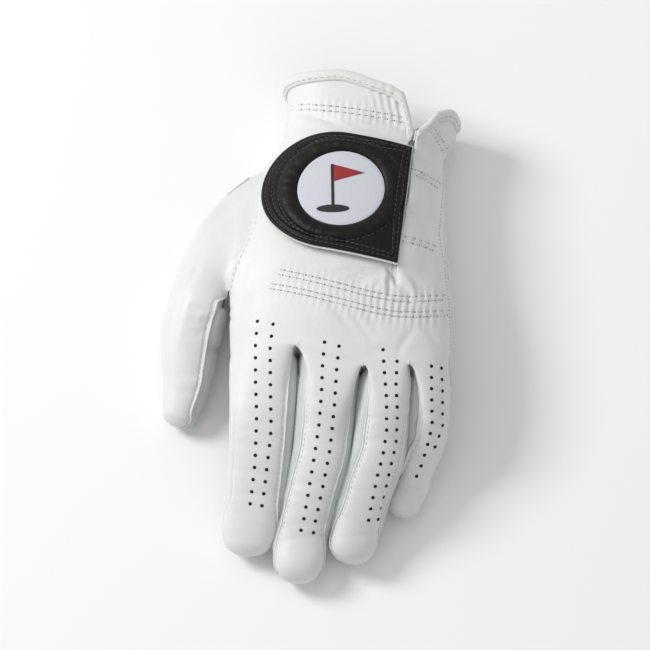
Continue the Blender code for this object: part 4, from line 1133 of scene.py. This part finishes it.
def surfaceOf(*objects):
    # a tree of the pieces' faces, which rays can be cast on
    points, faces, first = [], [], 0
    for obj in objects:
        mesh = obj.data
        co = np.empty(len(mesh.vertices) * 3)
        mesh.vertices.foreach_get("co", co)
        points.append(co.reshape(-1, 3) / mm - formOffset)
        faces += [[first + i for i in p.vertices] for p in mesh.polygons]
        first += len(mesh.vertices)
    return BVHTree.FromPolygons([tuple(p) for p in np.concatenate(points)], faces)


def dropOn(surface, plan):
    # points and normals where lines that lean as the view does meet the surface
    down = Vector((0, leanSine, -leanCosine))
    hits = []
    for x, v in plan:
        start = Vector((x, leanCosine * v, planHeight + leanSine * v)) - down * 150
        place, normal, _, _ = surface.ray_cast(start, down)
        if place is not None:
            hits.append((*place, *(normal if normal.dot(down) < 0 else -normal)))
    hits = np.array(hits)
    return hits[:, :3], hits[:, 3:]


def spaced(line, pitch, first=0.0):
    # points along a polyline at a pitch
    line = np.asarray(line, float)
    size = np.linalg.norm(np.diff(line, axis=0), axis=1)
    walked = np.concatenate([[0], np.cumsum(size)])
    at = np.arange(first, walked[-1], pitch)
    return np.stack([np.interp(at, walked, line[:, i]) for i in range(line.shape[1])], 1)


def alongOf(points):
    return unit(np.gradient(points, axis=0))


def stitchMesh(name, places, ahead, up, material, length, radius, sink=0.0):
    # each stitch is a capsule bent down at both ends, drawn on its own direction and the surface's normal
    stations = np.array([-0.5, -0.42, -0.2, 0.2, 0.42, 0.5])
    sizes = np.array([0.25, 0.8, 1.0, 1.0, 0.8, 0.25])
    drop = np.array([-0.9, -0.35, 0.15, 0.15, -0.35, -0.9])
    turn = np.linspace(0, 2 * np.pi, 6, endpoint=False)
    side = unit(np.cross(up, ahead))
    up = np.cross(ahead, side)
    count = len(places)
    ring = np.empty((count, 6, 6, 3))
    for i in range(6):
        centre = places + ahead * (stations[i] * length) + up * (drop[i] * radius - sink)
        ring[:, i] = (centre[:, None] + radius * sizes[i] * (side[:, None] * np.cos(turn)[:, None]
                                                              + up[:, None] * np.sin(turn)[:, None] * 0.8))
    corner, first = np.arange(6), np.arange(count)[:, None] * 36
    ringFirst = first[:, None] + (np.arange(5)[:, None] * 6)[None]
    place, beside = ringFirst + corner, ringFirst + (corner + 1) % 6
    faces = np.stack([place, beside, beside + 6, place + 6], -1).reshape(-1, 4).tolist()
    ends = (first + corner[::-1]).tolist() + (first + 30 + corner).tolist()
    return makeMesh(name, ring.reshape(-1, 3), faces + ends, material, 0, 80)


def stitchesAlong(lines, ups, pitch):
    # places, directions and normals of stitches at a pitch along each line
    parts = []
    for line, up in zip(lines, ups):
        both = spaced(np.concatenate([line, up], 1), pitch)
        parts.append((both[:, :3], alongOf(both[:, :3]), unit(both[:, 3:])))
    return [np.concatenate(part) for part in zip(*parts)]


def tubeMesh(name, lines, ups, material, radius, flat):
    # a flattened tube swept along each line, thinner towards its ends
    grids = []
    turn = np.linspace(0, 2 * np.pi, 9)
    for line, up in zip(lines, ups):
        ahead = alongOf(line)
        side = unit(np.cross(up, ahead))
        place = np.arange(len(line))
        size = radius * np.minimum(1, 0.4 + np.minimum(place, place[::-1]) / 3)
        grids.append(line[:, None] + size[:, None, None] * (side[:, None] * np.cos(turn)[:, None]
                                                            + up[:, None] * np.sin(turn)[:, None] * flat))
    return joined(name, grids, material, 0, 80)


leatherSurface = surfaceOf(mainLeather)
handSurface = surfaceOf(mainLeather, thumbLeather)

stitchValues = {
    # pitch, length and half thickness of the stitches
    "rows": (rowValues["pitch"], 1.8, 0.25),
    "wrist": (rowValues["pitch"], 2.0, 0.25),
    "finger": (2.6, 1.7, 0.22),
    "thumb": (2.6, 1.7, 0.22),
    "thumbHole": (2.9, 1.8, 0.24),
    "binding": (3.0, 1.9, 0.22),
    "tab": (2.4, 1.9, 0.24),
}


def offsetLine(line, distance):
    # the line moved sideways in plan
    fine = spaced(line, 0.8)
    ahead = alongOf(fine)
    return fine + distance * np.stack([-ahead[:, 1], ahead[:, 0]], 1)


def rowStitches():
    # dark rows, the paler wrist row, and the places of the painted needle-hole shade discs halfway between
    # the stitches
    dark, pale, holes = [], [], []
    for name in ("knuckleHigh", "knuckleLow", "wrist", "flapHigh", "flapMid", "flapTop", "sideSeam"):
        for side in (-1, 1) if name != "sideSeam" else (0,):
            line = offsetLine(rowValues[name], side * rowValues["gap"] / 2)
            places, up = dropOn(leatherSurface, spaced(line, rowValues["pitch"], 0.4 + 0.5 * (side > 0)))
            ahead = alongOf(places)
            (dark if name != "wrist" else pale).append((places, ahead, up))
            holes.append((places + ahead * rowValues["pitch"] / 2, ahead, up))
    return [[np.concatenate(part) for part in zip(*group)] for group in (dark, pale, holes)]


rowDark, rowPale, rowHoles = rowStitches()
rowStitch = stitchMesh("rowStitches", *rowDark, greyThread, *stitchValues["rows"][1:])
wristStitch = stitchMesh("wristStitches", *rowPale, whiteThread, *stitchValues["wrist"][1:])


def discMesh(name, places, up, material, radius, lift=0.07):
    # twelve-sided discs on the surface, each a little dished
    turn = np.linspace(0, 2 * np.pi, 12, endpoint=False)
    side = unit(np.cross(up, [0.0, 1.0, 0.3]))
    other = np.cross(up, side)
    count = len(places)
    circle = side[:, None] * np.cos(turn)[:, None] + other[:, None] * np.sin(turn)[:, None]
    ring = places[:, None] + radius * circle + up[:, None] * lift
    points = np.concatenate([ring, (places + up * lift * 0.8)[:, None]], 1).reshape(-1, 3)
    base = np.arange(count)[:, None] * 13
    i = np.arange(12)[None]
    faces = np.stack([base + i, base + (i + 1) % 12, base + 12 + 0 * i], -1).reshape(-1, 3)
    return makeMesh(name, points, faces, material, 0, 80)


# painted shade: dark discs laid where the needle holes' shade falls, between the stitches
rowHoleShade = discMesh("needleHoles", rowHoles[0], rowHoles[2], needleHole, 0.33)

perforationValues = {
    # rows of punched holes: line in plan and number of holes
    "indexLeft": (((-24.1, 2.9), (-25, -7.4), (-25, -22.7), (-24.5, -38.9), (-24.8, -49.7), (-25.2, -61),
        (-26.6, -73.1), (-27.4, -79.2)), 16),
    "indexRight": (((-17.1, 1.6), (-18.4, -8.6), (-18.3, -23.6), (-18, -45.2), (-18.4, -50.6),
        (-19.8, -62.3), (-21.2, -74.2), (-22.1, -80.1)), 16),
    "middleLeft": (((6.1, -6.5), (5.2, -16), (4.7, -29.5), (3.6, -43.4), (2, -54.5), (-0.5, -69.8),
        (-3.1, -85.5), (-4.5, -91.1)), 17),
    "middleRight": (((12.6, -8.3), (11.5, -19.1), (10.6, -34), (9.5, -45.2), (8.3, -56), (5.4, -71.1),
        (2, -86.9), (1.1, -92.2)), 17),
    "ringLeft": (((32.4, -9.9), (32.9, -18.7), (34, -32.2), (34, -46.6), (32.4, -57.1), (29.9, -66.6),
        (26.8, -81.7), (25.9, -86.6)), 16),
    "ringRight": (((38.7, -15.1), (38.2, -25), (38.9, -38.5), (38.2, -52.6), (35.8, -62.6), (32.6, -77),
        (30.2, -86.2)), 15),
    "littleLeft": (((54.2, -17.3), (54.2, -28.1), (54.5, -44.3), (52.2, -53.6), (49.5, -62.3),
        (47.5, -66.8)), 11),
    "littleRight": (((58.7, -18.2), (59.2, -29.2), (59.2, -44.8), (57.4, -49.3), (55.8, -53.6)), 8),
}


def perforations():
    # each row's holes at even distances along its line
    plan = []
    for line, count in perforationValues.values():
        line = np.asarray(line, float)
        size = np.concatenate([[0], np.cumsum(np.linalg.norm(np.diff(line, axis=0), axis=1))])
        at = np.linspace(0, size[-1], count)
        plan.append(np.stack([np.interp(at, size, line[:, i]) for i in range(2)], 1))
    return dropOn(leatherSurface, np.concatenate(plan))


holePlaces, holeUp = perforations()
# painted shade: near-black discs laid on the leather where the punched holes show the shaded inside
holeShadeDiscs = discMesh("perforations", holePlaces, holeUp, punchedHole, 0.84)
print("perforations", len(holePlaces))


def seamLine(finger, u, left, palm, inward):
    # line beside a finger's seam at a distance inwards, with its normals square to it
    handSide = finger.edges[1 if left else 0][1 if palm else 0]
    seam, step = finger.seam(u), np.degrees(inward / (finger.tipWidth / 2))
    angle = (-1 if palm else 1) * (180 - seam - step if left else seam + step)
    inner = (1 if left else -1) * (-1 if palm else 1)
    hand = np.full_like(u, handSide - inner * np.degrees(inward / 50))
    base = skin(finger, hand, angle, u)
    relief = fingerRelief(finger, np.abs(angle), u, base) * crotchShare(u) * (0 if palm else 1)
    line = skin(finger, hand, angle, u, -relief - (0.0 if inward == lipInward else 0.05))
    centre = np.stack([np.interp(u, finger.steps, finger.line[:, i]) for i in range(3)], -1)
    up = unit(line - centre)
    return line, unit(up - (up * alongOf(line)).sum(1)[:, None] * alongOf(line))


def fingerEdges():
    # seam lips where the main leather meets the side strips, and the stitch lines inside them
    lips, stitches = [], []
    for finger in fingers.values():
        u = finger.rows()
        u = u[(u > 0.8) & (u < finger.length - 3.0)]
        for left in (False, True):
            if finger.name == ("index" if left else "little"):
                continue
            for palm in (False, True):
                lips.append(seamLine(finger, u, left, palm, lipInward))
                stitches.append(seamLine(finger, u, left, palm, stitchInward))
    return lips, stitches


lipInward, stitchInward = 0.35, 1.9
lips, seamLines = fingerEdges()
fingerLips = tubeMesh("fingerLips", *zip(*lips), whiteLeather, 0.5, 0.75)
pitch, *size = stitchValues["finger"]
fingerStitch = stitchMesh("fingerStitches", *stitchesAlong(*zip(*seamLines), pitch), whiteThread, *size)


def thumbLines(rows, columns):
    return [thumbGrid[rows, i] for i in columns], [thumbNormal[rows, i] for i in columns]


thumbLips = tubeMesh("thumbLips", *thumbLines(slice(34, 104), (1, -2)), whiteLeather, 0.5, 0.75)
pitch, *size = stitchValues["thumb"]
thumbSeam = stitchesAlong(*thumbLines(slice(36, 103), (5, -6)), pitch)
thumbStitch = stitchMesh("thumbStitches", *thumbSeam, whiteThread, *size)

pitch, *size = stitchValues["binding"]
bindingUp = unit((bindingStitch - bindingStitch.mean(0)) * [1, 0, 1])
bindingSeam = stitchesAlong([bindingStitch], [bindingUp], pitch)
bindStitch = stitchMesh("bindingStitches", *bindingSeam, whiteThread, *size)


def tabStitchLines():
    # two rows inside the tab's edge and one round the padded ring, a hair above the cover
    edge = tabOutline(tabAngle, 0.0)
    window = (tabValues["badgeRadius"] + gap) * badgeTrim
    lines, ups = [], []
    for radius in (*(edge - at for at in coverValues["rows"]), window + tabValues["ringWidth"]):
        radius = np.minimum(radius, edge - 1.4)
        height = levels["top"] + coverHeight(radius - window, edge - window, tabAngle) + 0.12
        lines.append(polar(tabAngle, radius, height))
        ups.append(polar(tabAngle, radius, height + 1.0) - lines[-1])
    return lines, ups


pitch, *size = stitchValues["tab"]
tabStitch = stitchMesh("tabStitches", *stitchesAlong(*tabStitchLines(), pitch), blackThread, *size)


def holeEdge():
    # the main leather's edge round the thumb hole, up the back and down the palm side
    walk = (1 - np.cos(np.linspace(0, np.pi, 120))) / 2
    y = holeValues["end"] + (holeValues["top"] - holeValues["end"]) * walk
    back = seams["fold"] - holeValues["back"] * holeOpening(y)
    palm = seams["fold"] + holeValues["palm"] * holeOpening(y)
    lines, ups = [], []
    for angle in (back, palm):
        base = handPoint(angle, y)
        lines.append(handPoint(angle, y, 0.3 - handRelief(base, angle)))
        ups.append(unit(handPoint(angle, y, -2.0) - base))
    return lines, ups


holeLip = tubeMesh("thumbHoleLip", *holeEdge(), whiteLeather, 0.95, 0.8)


def thumbHoleStitches():
    # stitches on the loop round the hole, with their normals from a second loop 2 mm higher
    around = np.linspace(0.12, np.pi - 0.3, 160)
    loop = holeLoop(around, 2.0, 0.0)
    up = unit(holeLoop(around, 2.0, -2.0) - loop)
    line = spaced(loop + 0.12 * unit(loop - loop.mean(0)), stitchValues["thumbHole"][0])
    return line, alongOf(line), up[np.linspace(0, len(up) - 1, len(line)).astype(int)]


holeSize = stitchValues["thumbHole"][1:]
holeStitch = stitchMesh("thumbHoleStitches", *thumbHoleStitches(), whiteThread, *holeSize)

# short leather bars where the gaps between the fingers begin, in plan
crotchTops = ((-5.9, -7.2), (23.2, -16.2), (44.1, -15.3))
tackPlaces, tackUp = dropOn(handSurface, crotchTops)
tackAhead = -unit(np.cross([1.0, 0.0, 0.0], tackUp))
bartacks = stitchMesh("bartacks", tackPlaces, tackAhead, tackUp, whiteLeather, 2.4, 0.42, 0.1)
print("stitches ready")

# pieces in each slot of the two bodies
gloveParts = {
    "white_leather": (mainLeather, thumbLeather, fingerLips, thumbLips, rowStitch, wristStitch, rowHoleShade,
                      holeShadeDiscs, fingerStitch, thumbStitch, holeStitch, holeLip, bartacks),
    "side_leather": (stripMiddle, stripRing, stripLittle, thumbStrip),
    "cuff_tape": (cuffBinding, bindStitch),
    "white_elastic": (slitBed,),
    "hook_and_loop": (loopPad,),
}
tabParts = {
    "hook_and_loop": (hookPad,),
    "tab_lining": (tabLining,),
    "black_leather": (tabCover, tabStitch),
    "badge_twill": (tabBadge, emblemPole, emblemPennant, emblemHole),
}
for body, groups in (("glove", gloveParts), ("tab", tabParts)):
    for slotName, objects in groups.items():
        for obj in objects:
            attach(obj, body)
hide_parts("trank")
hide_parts("fourchette_index_middle")
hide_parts("fourchette_middle_ring")
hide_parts("fourchette_ring_little")
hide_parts("thumb")
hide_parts("thumb_inner")
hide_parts("cuff_binding")
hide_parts("loop_pad")
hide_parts("hook_pad")
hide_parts("tab_lining")
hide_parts("closure_tab")
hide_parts("tab_badge")

stageValues = {
    "floor": 6.0,
    # place, size and power of each light
    "keyLight": ((-1.25, 0.45, 1.15), 0.6, 19.5),
    "fillLight": ((0.5, -0.7, 0.7), 0.8, 0.6),
    "topLight": ((-0.1, 0.35, 1.1), 0.7, 1.0),
    "world": 0.50,
    "viewWidth": 0.2925,
    "viewAim": (0.00594, 0.000, 0.02538),
    "viewDistance": 1.2,
    "viewTilt": 20,
}


def placed(name, data):
    made = bpy.data.objects.new(name, data)
    bpy.context.collection.objects.link(made)
    return made


def floorMesh():
    mesh = bpy.data.meshes.new("floor")
    half = stageValues["floor"] / 2
    corners = [(-half, -half, 0), (half, -half, 0), (half, half, 0), (-half, half, 0)]
    mesh.from_pydata(corners, [], [(0, 1, 2, 3)])
    mesh.materials.append(plainMaterial("paleFloor", (0.93, 0.93, 0.93), 0.9))
    return placed("floor", mesh)


def areaLight(name):
    place, size, power = stageValues[name]
    data = bpy.data.lights.new(name, "AREA")
    data.energy, data.size = power, size
    made = placed(name, data)
    made.location = place
    made.rotation_euler = (Vector((0, 0, 0.02)) - Vector(place)).to_track_quat("-Z", "Y").to_euler()
    return made


floor = floorMesh()
key, fill, top = (areaLight(name) for name in ("keyLight", "fillLight", "topLight"))
world = bpy.data.worlds.new("studio")
world.use_nodes = True
world.node_tree.nodes["Background"].inputs["Color"].default_value = (1, 1, 1, 1)
world.node_tree.nodes["Background"].inputs["Strength"].default_value = stageValues["world"]
bpy.context.scene.world = world
bpy.context.scene.view_settings.view_transform = "Standard"

lens = bpy.data.cameras.new("viewCamera")
lens.type = "ORTHO"
lens.ortho_scale = stageValues["viewWidth"]
lens.clip_end = 10
camera = placed("viewCamera", lens)
back = Vector((0, -leanSine, leanCosine)) * stageValues["viewDistance"]
camera.location = Vector(stageValues["viewAim"]) + back
camera.rotation_euler = (math.radians(stageValues["viewTilt"]), 0, 0)
bpy.context.scene.camera = camera
print("stage ready")
